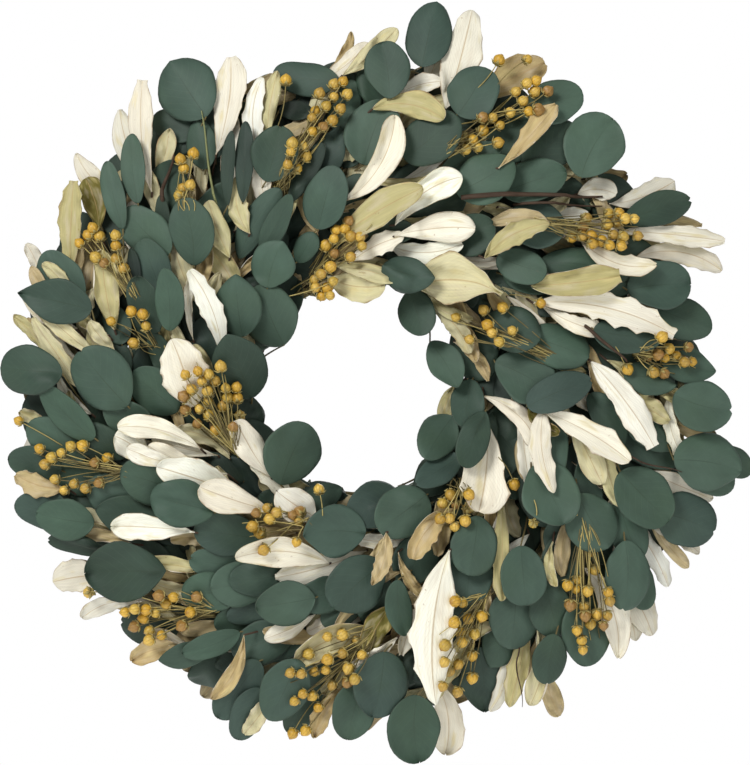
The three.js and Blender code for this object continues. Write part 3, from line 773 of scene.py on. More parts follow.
def mixed(colours, rng, spread):
    """A colour between two of a palette, a little lighter or darker, and its own chance."""
    a, b = rng.choice(colours), rng.choice(colours)
    t = rng.random()
    shade = 1 + rng.uniform(-spread, spread)
    return (*(min(LIGHTEST, (x + (y - x) * t) * shade) for x, y in zip(a, b)), rng.random())


def scaled(tint, by):
    """A tint made lighter or darker, its chance kept."""
    return (*(value * by for value in tint[:3]), tint[3])


# painted shade: a round leaf seen edge on has its colour darkened, as if in its own shade
EDGE_ON = 17  # mm: a round leaf that looks narrower is seen edge on, and is darker
EDGE_ON_PAINTED_SHADE = 0.45
PALER_BACK = 1.2
STEMS = {"eucalyptus": (TWIG, (1.1, 0.6)), "integrifolia": (BARK, (1.4, 0.8))}  # colour, radii


def leaf_tints(kind, level, look, width, rng):
    """The colours of a leaf's front and back, with painted shade: darker for leaves low in the pile and
    for round leaves seen edge on.
    """
    spread = LEAF_SPREAD[kind]
    if kind == "eucalyptus":
        front = mixed(EUCALYPTUS_COLOURS, rng, spread)
        # painted shade on a round leaf seen edge on
        if width < EDGE_ON:
            front = scaled(front, EDGE_ON_PAINTED_SHADE)
        tints = (front, scaled(front, PALER_BACK))
    else:
        tints = [mixed(INTEGRIFOLIA_COLOURS[side], rng, spread) for side in (look, BACK_OF[look])]
    # painted shade by level: the lower a leaf lies in the pile, the darker its colour
    return [scaled(tint, PAINTED_SHADE_BY_LEVEL[level]) for tint in tints]


def add_leaf(sketches, kind, level, look, place, rng, pile):
    """A leaf and its stalk, on the sprig that they reach from."""
    clock = place[0]
    reach = REACH[level]
    number = sprig_for(kind, clock, reach)
    base_clock = base_clock_of(kind, number)
    settle = SETTLE * (reach - turn_between(base_clock, clock))
    sketch = sketches[kind, number]
    tints = leaf_tints(kind, level, look, place[-1], rng)
    foot, foot_depth = leaf(sketch, kind, look, place, tints, rng, base_clock, settle, pile)
    colour, radii = STEMS[kind]
    stalk(sketch, foot, foot_depth, base_clock, radii, (*colour, rng.random()), rng)


FILL_TRIES = 4000
FILL_R = (90, 240)
FILL_FREE_R = 120  # further in, low leaves run along the ring, out of its opening
FILL_LAYERS = (0.0, 26.0)  # a layer fills a place where nothing yet stands higher than this
FILL_ROUND_SHARE = 0.55
FILL_SIZES = {  # length in mm, width as a part of it
    "eucalyptus": ((40, 54), (0.65, 0.88)),
    "integrifolia": ((50, 66), (0.3, 0.45)),
}
FILL_LEAN = (35, 105)  # degrees between a low leaf's heading and the way outwards
FILL_INNER_LEAN = (75, 100)
GOLDEN = 0.618034
SILVER = 0.754878  # spreads radii evenly where GOLDEN spreads clock places
ORDER_JITTER = 14  # degrees by which neighbours may swap their order in the pile


def spread_place(i, inner_r, outer_r):
    """The i-th of a row of places that spread evenly over a ring."""
    return 360 * (i * GOLDEN % 1.0), inner_r + (outer_r - inner_r) * (i * SILVER % 1.0)


def grow_fill(sketches, pile, rng):
    """Low leaves, each laid only where a seeded place is still bare in its layer."""
    for layer_top in FILL_LAYERS:
        for i in range(FILL_TRIES):
            clock, radius = spread_place(i, *FILL_R)
            if pile.tops_near(flat(clock, radius)).min() > layer_top:
                continue
            kind = "eucalyptus" if rng.random() < FILL_ROUND_SHARE else "integrifolia"
            lengths, shapes = FILL_SIZES[kind]
            length = rng.uniform(*lengths)
            width = length * rng.uniform(*shapes)
            look = "green" if kind == "eucalyptus" else rng.choice(("olive", "tan"))
            lean = rng.uniform(*(FILL_LEAN if radius > FILL_FREE_R else FILL_INNER_LEAN))
            place = (clock, radius, clock + lean, length, width)
            add_leaf(sketches, kind, "fill", look, place, rng, pile)


SLIVERS = 96  # narrow leaves that show in the gaps
SLIVER_R = (114, 236)
SLIVER_LENGTH = (38, 62)
SLIVER_WIDTH = (10, 18)
SLIVER_LEAN = (30, 100)
SLIVER_LOOKS = ("olive", "olive", "tan", "tan", "cream")


def slivers(rng):
    """Narrow, mostly rolled leaves spread over the whole ring among the low ones."""
    jobs = []
    for i in range(SLIVERS):
        clock, radius = spread_place(i, *SLIVER_R)
        size = (rng.uniform(*SLIVER_LENGTH), rng.uniform(*SLIVER_WIDTH))
        place = (clock, radius, clock + rng.uniform(*SLIVER_LEAN), *size)
        jobs.append(("integrifolia", "deep", rng.choice(SLIVER_LOOKS), place))
    return jobs


def grow_leaves(sketches, pile):
    """Lays the leaves level by level, each level anticlockwise, as tiles are laid uphill."""
    rng = random.Random(11)
    grow_fill(sketches, pile, rng)
    jobs = [("eucalyptus", level, "green", place)
            for level, places in EUCALYPTUS.items() for place in places]
    jobs += [("integrifolia", level, look, place)
             for (level, look), places in INTEGRIFOLIA.items() for place in places]
    jobs += slivers(rng)

    def pile_order(job):
        level, clock = job[1], job[3][0]
        return (REACH[level], -(clock + rng.uniform(0, ORDER_JITTER)))

    for kind, level, look, place in sorted(jobs, key=pile_order):
        add_leaf(sketches, kind, level, look, place, rng, pile)


CORE_STEMS = 7  # to a sprig: the bundle that the binding wire holds
CORE_INNER_R = 82
CORE_OUTER_R = 126
CORE_STEPS = 16
CORE_LEAD = (2, 8)  # degrees by which a stem starts before its sprig
CORE_TURN = (22, 38)  # and how far round it runs
CORE_DRIFT = 5
CORE_SWAY = 2
CORE_DEPTH = (3.5, 9)
CORE_RISE = 9
CORE_THICKNESS = (0.8, 1.7)
CORE_TAPER = 0.5


def grow_core(sketches):
    """Stems bound along the frame: each starts cut off before its sprig and runs clockwise."""
    rng = random.Random(8)
    for (kind, number), sketch in sketches.items():
        base_clock = base_clock_of(kind, number)
        for i in range(CORE_STEMS):
            spread = (i + rng.random()) / CORE_STEMS
            radius = CORE_INNER_R + (CORE_OUTER_R - CORE_INNER_R) * spread
            start = base_clock - rng.uniform(*CORE_LEAD)
            turn = rng.uniform(*CORE_TURN)
            drift = rng.uniform(-CORE_DRIFT, CORE_DRIFT)
            sway = rng.uniform(-CORE_SWAY, CORE_SWAY)
            low = rng.uniform(*CORE_DEPTH)
            thickness = rng.uniform(*CORE_THICKNESS)
            colour = mixed([BARK, TWIG], rng, 0.2)
            route, radii = [], []
            for t in steps(CORE_STEPS):
                r = radius + drift * t + sway * math.sin(math.tau * t)
                route.append(ring_place(start + turn * t, r, low + CORE_RISE * t))
                radii.append(thickness * (1 - CORE_TAPER * t) * MM)
            tube(sketch, route, radii, colour, 1)


TWIG_STEPS = 18
TWIG_SUNK = 0.1  # the part at a twig's start that dips under the leaves
TWIG_DIP = 8
TWIG_SWAY = 2.5
TWIG_WAVE = 1.6 * math.pi  # how far round its wave a twig's sway goes
TWIG_TAPER = 0.6
TWIG_SIDES = 8


def grow_twigs(sketches, pile):
    """The woody stems that show: each comes out from under the leaves and lies on them."""
    rng = random.Random(3)
    for number, from_clock, from_r, to_clock, to_r, thickness, look in TWIGS:
        start, end = flat(from_clock, from_r), flat(to_clock, to_r)
        heading = clock_of((end[0] - start[0], end[1] - start[1]))
        sway = rng.uniform(-TWIG_SWAY, TWIG_SWAY)
        points, tops, radii = [], [], []
        for t in steps(TWIG_STEPS):
            middle = along(start, heading, math.dist(start, end) * t)
            points.append(along(middle, heading + 90, sway * math.sin(TWIG_WAVE * t)))
            tops.append(pile.tops_near(points[-1]).max() + thickness / 4)
            radii.append(thickness / 2 * (1 - TWIG_TAPER * t ** 2) * MM)
        route = []
        for t, point, top, even_top in zip(steps(TWIG_STEPS), points, tops, smoothed(tops)):
            dip = TWIG_DIP * max(0.0, 1 - t / TWIG_SUNK)
            route.append(place_at(point, max(even_top, top) - dip))
        tint = (*TWIG_COLOURS[look], rng.random())
        tube(sketches["eucalyptus", number], route, radii, tint, 1, TWIG_SIDES)


def smoothed(values, rounds=3):
    """A row of numbers with its steps softened and its two ends kept."""
    for _ in range(rounds):
        inner = [(a + 2 * b + c) / 4 for a, b, c in zip(values, values[1:], values[2:])]
        values = [values[0], *inner, values[-1]]
    return values


# ---- flax ----
POD_R = 3.8
POD_SIZES = (0.9, 1.15)  # each pod's size, as a part of that
POD_SIDES = 20
POD_RINGS = 11
POD_RIBS = 10
POD_RIB_DEPTH = 0.05
OPEN_PODS = 0.12  # the share of pods that are brown and split
OPEN_RIBS = 5
OPEN_RIB_DEPTH = 0.16
POD_END = 0.02  # of its radius, so that its two ends close with a small face
POD_TIP = 0.11  # by which each of its last two rings stands further out
SEPALS = 5
POD_SPACING = 1.6  # in pod radii, the least between two places in a fan
FAN_TRIES = 4000
BARE_STEMS = 5  # to a fan, besides half its pod count: straws without pods
BARE_STEM_DROP = 8
FAN_STALKS = 5
FAN_STALK_RADII = (0.7, 0.5)
NECK_SPREAD = 6
NECK_SUNK = 3  # how far the straws start under the leaves at a fan's neck
FLAX_REACH = 60
FLAX_STEM_R = 0.42
FLAX_STEM_STEPS = 9
FLAX_SIDES = 5
STRAY_BEARING = 40  # degrees that a single pod's straw heads off the way outwards


def sepals(sketch, centre, axis, side, other, radius, spin):
    """A star of dry sepals below a pod, each a thin closed kite."""
    down = axis * (-0.12 * radius)
    for k in range(SEPALS):
        b = spin + math.tau * k / SEPALS
        out = side * math.cos(b) + other * math.sin(b)
        across = axis.cross(out) * radius * 0.34
        root = centre - axis * radius * 0.98
        middle = root + out * radius * 0.7 + axis * radius * 0.08
        tip = root + out * radius * 1.3 + axis * radius * 0.5
        kite = [root, middle + across, tip, middle - across]
        rim = [[i, (i + 1) % 4, (i + 1) % 4 + 4, i + 4] for i in range(4)]
        sketch.add(kite + [p + down for p in kite], [[0, 3, 2, 1], [4, 5, 6, 7], *rim],
                   [(0.5, 0.1)] * 8, [STRAW_TINT] * 8, 1)


def pod(sketch, centre, axis, size, tint, open_pod, rng):
    """A round ribbed seed pod with a pointed tip, and its sepals."""
    side = axis.orthogonal().normalized()
    other = axis.cross(side)
    radius = POD_R * size * MM
    ribs, rib_depth = (OPEN_RIBS, OPEN_RIB_DEPTH) if open_pod else (POD_RIBS, POD_RIB_DEPTH)
    points, uvs = [], []
    for i in range(POD_RINGS + 1):
        a = math.pi * i / POD_RINGS
        ring_r = max(math.sin(a), POD_END)
        rise = -math.cos(a)
        if i >= POD_RINGS - 1:
            rise += POD_TIP * (i - POD_RINGS + 2)
        for j in range(POD_SIDES):
            b = math.tau * j / POD_SIDES
            rib = 1 + rib_depth * math.cos(ribs * b) * math.sin(a)
            flat_way = side * math.cos(b) + other * math.sin(b)
            points.append(centre + (flat_way * ring_r * rib + axis * rise) * radius)
            uvs.append((j / POD_SIDES, i / POD_RINGS))
    faces = ring_faces(POD_RINGS + 1, POD_SIDES)
    sketch.add(points, faces, uvs, [tint] * len(points), 0)
    sepals(sketch, centre, axis, side, other, radius, rng.uniform(0, math.tau))


def fan_places(clock, radius, heading, half_length, half_width, count, rng):
    """Places inside an oval, with room for a seed pod between each two."""
    places = []
    for _ in range(FAN_TRIES):
        if len(places) == count:
            break
        ahead, aside = rng.uniform(-1, 1), rng.uniform(-1, 1)
        if ahead * ahead + aside * aside > 1:
            continue
        middle = along(flat(clock, radius), heading, half_length * ahead)
        point = along(middle, heading + 90, half_width * aside)
        if all(math.dist(point, other) > POD_SPACING * POD_R for other in places):
            places.append(point)
    return places


def flax_stem(start, end, end_depth, bow, heading, pile):
    """A thin stem over the pile, from under the leaves at the neck to a pod."""
    points, depths = [], []
    start_depth = pile.top_at(start) - NECK_SUNK
    for t in steps(FLAX_STEM_STEPS):
        point = (start[0] + (end[0] - start[0]) * t, start[1] + (end[1] - start[1]) * t)
        point = along(point, heading + 90, bow * math.sin(math.pi * t))
        points.append(point)
        straight = start_depth + (end_depth - start_depth) * t
        depths.append(max(straight, pile.top_at(point) + 2 * FLAX_STEM_R) if t else straight)
    depths[-1] = end_depth
    return [place_at(point, depth) for point, depth in zip(points, smoothed(depths, 2))]


def podded_stem(sketch, neck, point, base_clock, settle, heading, pile, rng):
    """A straw from the neck of a fan to one pod, and the pod on it."""
    own = float(shingle_depth(*point, base_clock, settle)) + rng.uniform(-2, 5)
    depth = min(max(own, pile.top_at(point) + POD_R), MOST_DEPTH)
    route = flax_stem(neck, point, depth, rng.uniform(-3, 3), heading, pile)
    straw = mixed([STRAW, TWIG], rng, 0.1)
    tube(sketch, route, [FLAX_STEM_R * MM] * len(route), straw, 1, FLAX_SIDES)
    open_pod = rng.random() < OPEN_PODS
    tint = mixed([OPEN_POD] if open_pod else POD_COLOURS, rng, 0.1)
    axis = (route[-1] - route[-3]).normalized()
    pod(sketch, route[-1], axis, rng.uniform(*POD_SIZES), tint, open_pod, rng)


def bare_stem(sketch, neck, point, base_clock, settle, heading, pile, rng):
    """A thinner straw that has lost its pod."""
    own = float(shingle_depth(*point, base_clock, settle)) - BARE_STEM_DROP
    depth = max(pile.top_at(point) + 1, own)
    route = flax_stem(neck, point, depth, rng.uniform(-4, 4), heading, pile)
    straw = mixed([STRAW, TWIG], rng, 0.15)
    tube(sketch, route, [0.8 * FLAX_STEM_R * MM] * len(route), straw, 1, FLAX_SIDES)


def grow_flax(sketches, pile):
    """The fans of flax, over the finished pile of leaves, and the pods that stand alone."""
    rng = random.Random(5)
    for number, clock, radius, heading, half_length, half_width, count, neck_clock, neck_r in FLAX:
        sketch = sketches["flax", number]
        base_clock = base_clock_of("flax", number)
        settle = FLAX_REACH - turn_between(base_clock, clock)

        def near_neck():
            return along(flat(neck_clock, neck_r), rng.uniform(0, 360), rng.uniform(0, NECK_SPREAD))

        fan = (clock, radius, heading, half_length, half_width)
        for point in fan_places(*fan, count, rng):
            podded_stem(sketch, near_neck(), point, base_clock, settle, heading, pile, rng)
        for point in fan_places(*fan, count // 2 + BARE_STEMS, rng):
            bare_stem(sketch, near_neck(), point, base_clock, settle, heading, pile, rng)
        for _ in range(FAN_STALKS):
            neck = near_neck()
            depth = pile.top_at(neck) - NECK_SUNK
            stalk(sketch, neck, depth, base_clock, FAN_STALK_RADII, STRAW_TINT, rng)
    for number, clock, radius, neck_clock, neck_r in STRAYS:
        base_clock = base_clock_of("flax", number)
        settle = FLAX_REACH - turn_between(base_clock, clock)
        podded_stem(sketches["flax", number], flat(neck_clock, neck_r), flat(clock, radius),
                    base_clock, settle, clock + STRAY_BEARING, pile, rng)


# ---- wires, in mm and degrees ----
RAIL_WIRE_R = 1.75
RAIL_STEPS = 180
ROD_SIDES = 14
BRACES = 6
BRACE_WIRE_R = 1.2
BRACE_DEPTH = -3.25
BRACE_STEPS = 40
BRACE_OVERHANG = 1  # past the middle of each rail
WELD_R = 1.75  # the rods swell where they are welded to the rails
WELD_REACH = 1.3
BINDING_WIRE_R = 0.6
BINDING_LEAD = 2
BINDING_SLANT = 1.2
BINDING_BACK_DEPTH = -2.9
BINDING_OUTER_R = 130.8
BINDING_INNER_R = 81
BINDING_SHOULDER = 6
BINDING_SHOULDER_DROP = 3
BINDING_DIP = 0.9
LOOP_WIRE_R = 0.9
LOOP_HALF_WIDTH = 6
EYE_R = 3.2
EYE_PITCH = 1.9  # between the turns of the loop's ends round the outer rail
EYE_TURNS = 2
EYE_STEPS = 20  # to a turn
LEG_STEPS = 8
ARCH_STEPS = 12
ROUNDINGS = 3
NO_TINT = (1.0, 1.0, 1.0, 0.5)


def rail_radius(node):
    low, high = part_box(node)
    return (high[0] - low[0]) / 2 / MM - RAIL_WIRE_R


def wire_piece(name, node, body, slot, route, radii, materials, closed=False):
    sketch = Sketch()
    tube(sketch, route, [radius * MM for radius in radii], NO_TINT, 0, ROD_SIDES, closed)
    piece = sketch.finish(name, [materials[slot]])
    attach(piece, body)
    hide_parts(node)


def make_rail(node, materials):
    """A round ring of wire in place of a faceted one."""
    radius = rail_radius(node)
    route = [ring_place(360 * i / RAIL_STEPS, radius, 0) for i in range(RAIL_STEPS)]
    wire_piece(f"{node}_wire", node, "wreath", "frame_wire", route, [RAIL_WIRE_R] * RAIL_STEPS,
               materials, closed=True)


def make_brace(number, materials):
    """A straight rod behind the rails, swollen at the welds."""
    low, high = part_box(f"brace_{number}")
    middle = ((low[0] + high[0]) / 2 - RING_X, (low[2] + high[2]) / 2 - RING_Z)
    clock = clock_of(middle)
    inner, outer = rail_radius("inner_rail"), rail_radius("outer_rail")
    length = outer - inner + 2 * BRACE_OVERHANG
    route, radii = [], []
    for i in range(BRACE_STEPS + 1):
        radius = inner - BRACE_OVERHANG + length * i / BRACE_STEPS
        near = min(abs(radius - inner), abs(radius - outer))
        route.append(ring_place(clock, radius, BRACE_DEPTH))
        radii.append(BRACE_WIRE_R + (WELD_R - BRACE_WIRE_R) * math.exp(-(near / WELD_REACH) ** 2))
    wire_piece(f"brace_rod_{number}", f"brace_{number}", "wreath", "frame_wire", route, radii,
               materials)


def rounded(points, rounds):
    """A path whose corners are cut again and again until it is smooth."""
    for _ in range(rounds):
        cut = [points[0]]
        for a, b in zip(points, points[1:]):
            cut += [a.lerp(b, 0.25), a.lerp(b, 0.75)]
        points = cut + [points[-1]]
    return points


def make_binding(materials):
    """One wire wound round both rails over every sprig's cut end, except behind the hanger."""
    corners = []
    shoulder_turn = SPRIG_PITCH / 2 - BINDING_LEAD
    outer_top = BINDING_OUTER_R - BINDING_SHOULDER
    inner_top = BINDING_INNER_R + BINDING_SHOULDER

    def front(radius):
        return BASE_DEPTH + SHINGLE_RISE * shoulder_turn + dome(radius) - BINDING_DIP

    for k in range(1, SPRIG_COUNT):
        clock = k * SPRIG_PITCH - BINDING_LEAD
        corners += [
            ring_place(clock - SPRIG_PITCH + BINDING_SLANT, BINDING_OUTER_R, BINDING_BACK_DEPTH),
            ring_place(clock, BINDING_OUTER_R, front(BINDING_OUTER_R) - BINDING_SHOULDER_DROP),
            ring_place(clock, outer_top, front(outer_top)),
            ring_place(clock, inner_top, front(inner_top)),
            ring_place(clock, BINDING_INNER_R, front(BINDING_INNER_R) - BINDING_SHOULDER_DROP),
            ring_place(clock + BINDING_SLANT, BINDING_INNER_R, BINDING_BACK_DEPTH),
        ]
    route = rounded(corners, ROUNDINGS)
    wire_piece("binding_wire_wound", "binding_wire", "wreath", "binding_wire", route,
               [BINDING_WIRE_R] * len(route), materials)


def make_hanger(materials):
    """A U of wire whose two ends are coiled round the outer rail, so that it swings there."""
    axis = next(joint for joint in frame["record"]["behaviour"]["joints"]
                if joint["name"] == "hanger_hinge")["pos_m"]
    loop_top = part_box("hanger_loop")[1][2]
    arch_z = loop_top - (LOOP_HALF_WIDTH + LOOP_WIRE_R) * MM
    half = []
    for i in range(EYE_TURNS * EYE_STEPS + 1):
        a = math.tau * (i / EYE_STEPS - 0.25)
        x = (LOOP_HALF_WIDTH + EYE_PITCH * (EYE_TURNS - i / EYE_STEPS) - EYE_PITCH) * MM
        half.append(Vector((x, axis[1] + EYE_R * MM * math.sin(a), axis[2] + EYE_R * MM * math.cos(a))))
    foot = half[-1]
    for t in steps(LEG_STEPS)[1:]:
        lean = (foot.y - axis[1]) * (1 - t) ** 2
        half.append(Vector((LOOP_HALF_WIDTH * MM, axis[1] + lean, foot.z + (arch_z - foot.z) * t)))
    arch = []
    for i in range(1, ARCH_STEPS):
        a = math.pi * i / ARCH_STEPS
        arch.append(Vector((LOOP_HALF_WIDTH * MM * math.cos(a), axis[1],
                            arch_z + LOOP_HALF_WIDTH * MM * math.sin(a))))
    mirrored = [Vector((-point.x, point.y, point.z)) for point in reversed(half)]
    route = half + arch + mirrored
    wire_piece("hanger_wire_loop", "hanger_loop", "hanger", "hanger_wire", route,
               [LOOP_WIRE_R] * len(route), materials)


def make_wires(materials):
    for node in ("outer_rail", "inner_rail"):
        make_rail(node, materials)
    for number in range(1, BRACES + 1):
        make_brace(number, materials)
    make_binding(materials)
    make_hanger(materials)


# ---- materials ----
class Shader:
    """A small helper that wires a Principled material."""

    def __init__(self, name, roughness, specular=0.4, metallic=0.0):
        self.material = bpy.data.materials.new(name)
        self.material.use_nodes = True
        self.tree = self.material.node_tree
        self.surface = self.tree.nodes["Principled BSDF"]
        self.surface.inputs["Roughness"].default_value = roughness
        self.surface.inputs["Specular IOR Level"].default_value = specular
        self.surface.inputs["Metallic"].default_value = metallic
        self.place = self.node("ShaderNodeTexCoord").outputs["Object"]

    def node(self, kind, **settings):
        made = self.tree.nodes.new(kind)
        for key, value in settings.items():
            setattr(made, key, value)
        return made

    def plug(self, socket, value):
        if isinstance(value, bpy.types.NodeSocket):
            self.tree.links.new(value, socket)
        else:
            socket.default_value = value

    def times(self, a, b):
        return self.math("MULTIPLY", a, b)

    def gap(self, a, b):
        """How far two numbers are apart."""
        return self.math("ABSOLUTE", self.math("SUBTRACT", a, b))

    def math(self, operation, a, b=0.0):
        made = self.node("ShaderNodeMath", operation=operation)
        self.plug(made.inputs[0], a)
        self.plug(made.inputs[1], b)
        return made.outputs[0]

    def noise(self, scale, detail=3.0, place=None):
        made = self.node("ShaderNodeTexNoise")
        made.inputs["Scale"].default_value = scale
        made.inputs["Detail"].default_value = detail
        self.plug(made.inputs["Vector"], place or self.place)
        return made.outputs["Fac"]

    def span(self, value, low, high, to_low, to_high):
        made = self.node("ShaderNodeMapRange")
        for socket, number in zip(("From Min", "From Max", "To Min", "To Max"),
                                  (low, high, to_low, to_high)):
            made.inputs[socket].default_value = number
        self.plug(made.inputs["Value"], value)
        return made.outputs["Result"]

    def mix(self, factor, a, b, blend="MIX"):
        made = self.node("ShaderNodeMix", data_type="RGBA", blend_type=blend)
        self.plug(made.inputs["Factor"], factor)
        self.plug(made.inputs["A"], a)
        self.plug(made.inputs["B"], b)
        return made.outputs["Result"]

    def shade(self, colour, value):
        """The colour made lighter or darker by a number that varies over the surface."""
        return self.mix(1.0, colour, self.grey(value), "MULTIPLY")

    def over(self, colour, mask, red, green, blue):
        """The colour with another painted over it where the mask is 1."""
        return self.mix(mask, colour, (*srgb(red, green, blue), 1.0))

    def tint(self):
        return self.node("ShaderNodeAttribute", attribute_name="tint")

    def grey(self, value):
        made = self.node("ShaderNodeCombineColor")
        for socket in made.inputs:
            self.plug(socket, value)
        return made.outputs["Color"]

    def across_and_along(self):
        """The two UV numbers of a leaf, stem or pod."""
        split = self.node("ShaderNodeSeparateXYZ")
        self.plug(split.inputs[0], self.node("ShaderNodeUVMap", uv_map="leaf").outputs["UV"])
        return split.outputs["X"], split.outputs["Y"]

    def streaks(self, across, along, chance, fine, long, detail=4.0):
        """Noise drawn out along a leaf, different on each."""
        place = self.node("ShaderNodeCombineXYZ")
        self.plug(place.inputs[0], self.times(across, fine))
        self.plug(place.inputs[1], self.times(along, long))
        self.plug(place.inputs[2], self.times(chance, 90.0))
        return self.noise(1.0, detail, place.outputs[0])

    def bump(self, height, distance, strength=1.0):
        made = self.node("ShaderNodeBump")
        made.inputs["Strength"].default_value = strength
        made.inputs["Distance"].default_value = distance
        self.plug(made.inputs["Height"], height)
        self.plug(self.surface.inputs["Normal"], made.outputs["Normal"])

    def finish(self, colour):
        self.plug(self.surface.inputs["Base Color"], colour)
        return self.material


def vein_masks(shader, across, along, count, slant, thin):
    """Masks of the slanting side veins, 1 on a vein, and how far off the midrib a point is."""
    off_rib = shader.gap(across, 0.5)
    slanted = shader.math("SUBTRACT", along, shader.times(off_rib, slant))
    wave = shader.math("FRACT", shader.times(slanted, count))
    return off_rib, shader.span(shader.gap(wave, 0.5), 0.0, thin, 1.0, 0.0)


def eucalyptus_material():
    """Smooth grey-green with a waxy bloom, a thin darker midrib and a darker rim."""
    shader = Shader("eucalyptus_leaf", 0.6, specular=0.3)
    tint = shader.tint()
    across, along = shader.across_and_along()
    off_rib, veins = vein_masks(shader, across, along, 8.0, 0.8, 0.07)
    bloom = shader.span(shader.noise(38, 3.0), 0.35, 0.7, 0.9, 1.12)
    colour = shader.shade(tint.outputs["Color"], bloom)
    streak = shader.streaks(across, along, tint.outputs["Alpha"], 6.0, 2.5)
    colour = shader.shade(colour, shader.span(streak, 0.3, 0.7, 0.93, 1.07))
    green = shader.span(shader.noise(24, 2.0), 0.5, 0.7, 0.0, 0.2)
    colour = shader.over(colour, green, 62, 84, 58)
    colour = shader.over(colour, shader.times(veins, 0.07), 112, 128, 108)
    rib = shader.span(off_rib, 0.0, 0.014, 0.55, 0.0)
    fades = shader.span(along, 0.35, 0.95, 1.0, 0.0)
    colour = shader.over(colour, shader.times(rib, fades), 48, 60, 44)
    rim = shader.span(off_rib, 0.488, 0.5, 0.0, 0.45)
    colour = shader.over(colour, rim, 58, 52, 44)
    speck = shader.span(shader.noise(420, 3.0), 0.7, 0.78, 0.0, 0.3)
    colour = shader.over(colour, speck, 92, 86, 66)
    relief = shader.math("ADD", shader.times(veins, 0.2), shader.noise(420, 3.0))
    shader.bump(relief, 0.0002, 0.5)
    return shader.finish(colour)


def integrifolia_material():
    """Bleached papery cream with fibres, a tan midrib, fine veins and browned edges."""
    shader = Shader("integrifolia_leaf", 0.68, specular=0.25)
    tint = shader.tint()
    chance = tint.outputs["Alpha"]
    across, along = shader.across_and_along()
    off_rib, veins = vein_masks(shader, across, along, 18.0, 0.75, 0.09)
    fibre = shader.streaks(across, along, chance, 34.0, 2.2)
    broad = shader.streaks(across, along, chance, 4.0, 3.0, 2.0)
    colour = shader.shade(tint.outputs["Color"], shader.span(fibre, 0.3, 0.7, 0.9, 1.07))
    colour = shader.over(colour, shader.span(broad, 0.52, 0.75, 0.0, 0.45), 206, 194, 172)
    colour = shader.over(colour, shader.span(broad, 0.25, 0.42, 0.6, 0.0), 214, 198, 140)
    tan = (178, 150, 106)
    colour = shader.over(colour, shader.times(veins, 0.16), *tan)
    colour = shader.over(colour, shader.span(off_rib, 0.0, 0.026, 0.8, 0.0), *tan)
    worn = shader.span(shader.noise(120, 3.0), 0.4, 0.65, 0.0, 0.85)
    edge = shader.span(off_rib, 0.44, 0.5, 0.0, 1.0)
    brown = (150, 118, 76)
    colour = shader.over(colour, shader.times(edge, worn), *brown)
    speck = shader.span(shader.noise(300, 4.0), 0.68, 0.76, 0.0, 0.5)
    colour = shader.over(colour, speck, *brown)
    relief = shader.math("ADD", shader.times(veins, 0.35), fibre)
    shader.bump(relief, 0.0004, 0.7)
    return shader.finish(colour)


def stem_material():
    """Streaked bark or straw, in the colour of each stem, with darker knots."""
    shader = Shader("stem", 0.7, specular=0.25)
    tint = shader.tint()
    across, along = shader.across_and_along()
    streak = shader.streaks(across, along, tint.outputs["Alpha"], 5.0, 9.0, 5.0)
    knots = shader.span(shader.noise(260, 3.0), 0.62, 0.72, 1.0, 0.6)
    colour = shader.shade(tint.outputs["Color"], shader.span(streak, 0.3, 0.7, 0.7, 1.25))
    shader.bump(shader.noise(1200, 3.0), 0.0002, 0.8)
    return shader.finish(shader.shade(colour, knots))


def pod_material():
    """Papery golden skin, browner at the seams between the ribs and at the tip."""
    shader = Shader("flax_pod", 0.45, specular=0.5)
    across, along = shader.across_and_along()
    round_way = shader.math("FRACT", shader.times(across, POD_RIBS))
    seam = shader.span(shader.gap(round_way, 0.5), 0.0, 0.16, 0.45, 0.0)
    tip = shader.span(along, 0.8, 1.0, 0.0, 0.8)
    foot = shader.span(along, 0.0, 0.16, 0.55, 0.0)
    patch = shader.span(shader.noise(500, 4.0), 0.35, 0.7, 0.8, 1.15)
    colour = shader.shade(shader.tint().outputs["Color"], patch)
    for mask in (seam, tip, foot):
        colour = shader.over(colour, mask, 132, 84, 32)
    shader.bump(shader.noise(1500, 4.0), 0.00015, 0.7)
    return shader.finish(colour)


def wire_material(name, colour, roughness, metallic, wear):
    """Enamel or zinc, uneven in shade and rubbed through to bare metal in places."""
    shader = Shader(name, roughness, specular=0.5, metallic=metallic)
    rub = shader.span(shader.noise(300, 5.0), 0.6, 0.72, 0.0, wear)
    shade = shader.span(shader.noise(90, 3.0), 0.3, 0.7, 0.85, 1.15)
    base = shader.shade((*colour, 1.0), shade)
    shader.bump(shader.noise(1400, 3.0), 0.0001, 0.5)
    return shader.finish(shader.mix(rub, base, (0.35, 0.34, 0.32, 1.0)))


def make_materials():
    return {
        "eucalyptus": eucalyptus_material(),
        "integrifolia": integrifolia_material(),
        "stem": stem_material(),
        "flax": pod_material(),
        "frame_wire": wire_material("frame_enamel", srgb(48, 62, 44), 0.4, 0.0, 0.5),
        "binding_wire": wire_material("binding_enamel", srgb(58, 76, 50), 0.45, 0.0, 0.4),
        "hanger_wire": wire_material("galvanised", (0.5, 0.5, 0.49), 0.35, 1.0, 0.3),
    }


# ---- assembly ----
def grow_sprigs(materials):
    """Every sprig as one piece: its core, leaves, twigs and flax, grown on one pile."""
    numbers = range(1, SPRIG_COUNT // len(KINDS) + 1)
    sketches = {(kind, number): Sketch() for kind in KINDS for number in numbers}
    pile = Pile()
    grow_core(sketches)
    grow_leaves(sketches, pile)
    grow_twigs(sketches, pile)
    grow_flax(sketches, pile)
    for (kind, number), sketch in sketches.items():
        piece = sketch.finish(f"{kind}_sprig_{number}", [materials[kind], materials["stem"]])
        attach(piece, "wreath")
        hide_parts(f"{kind}_{number}")


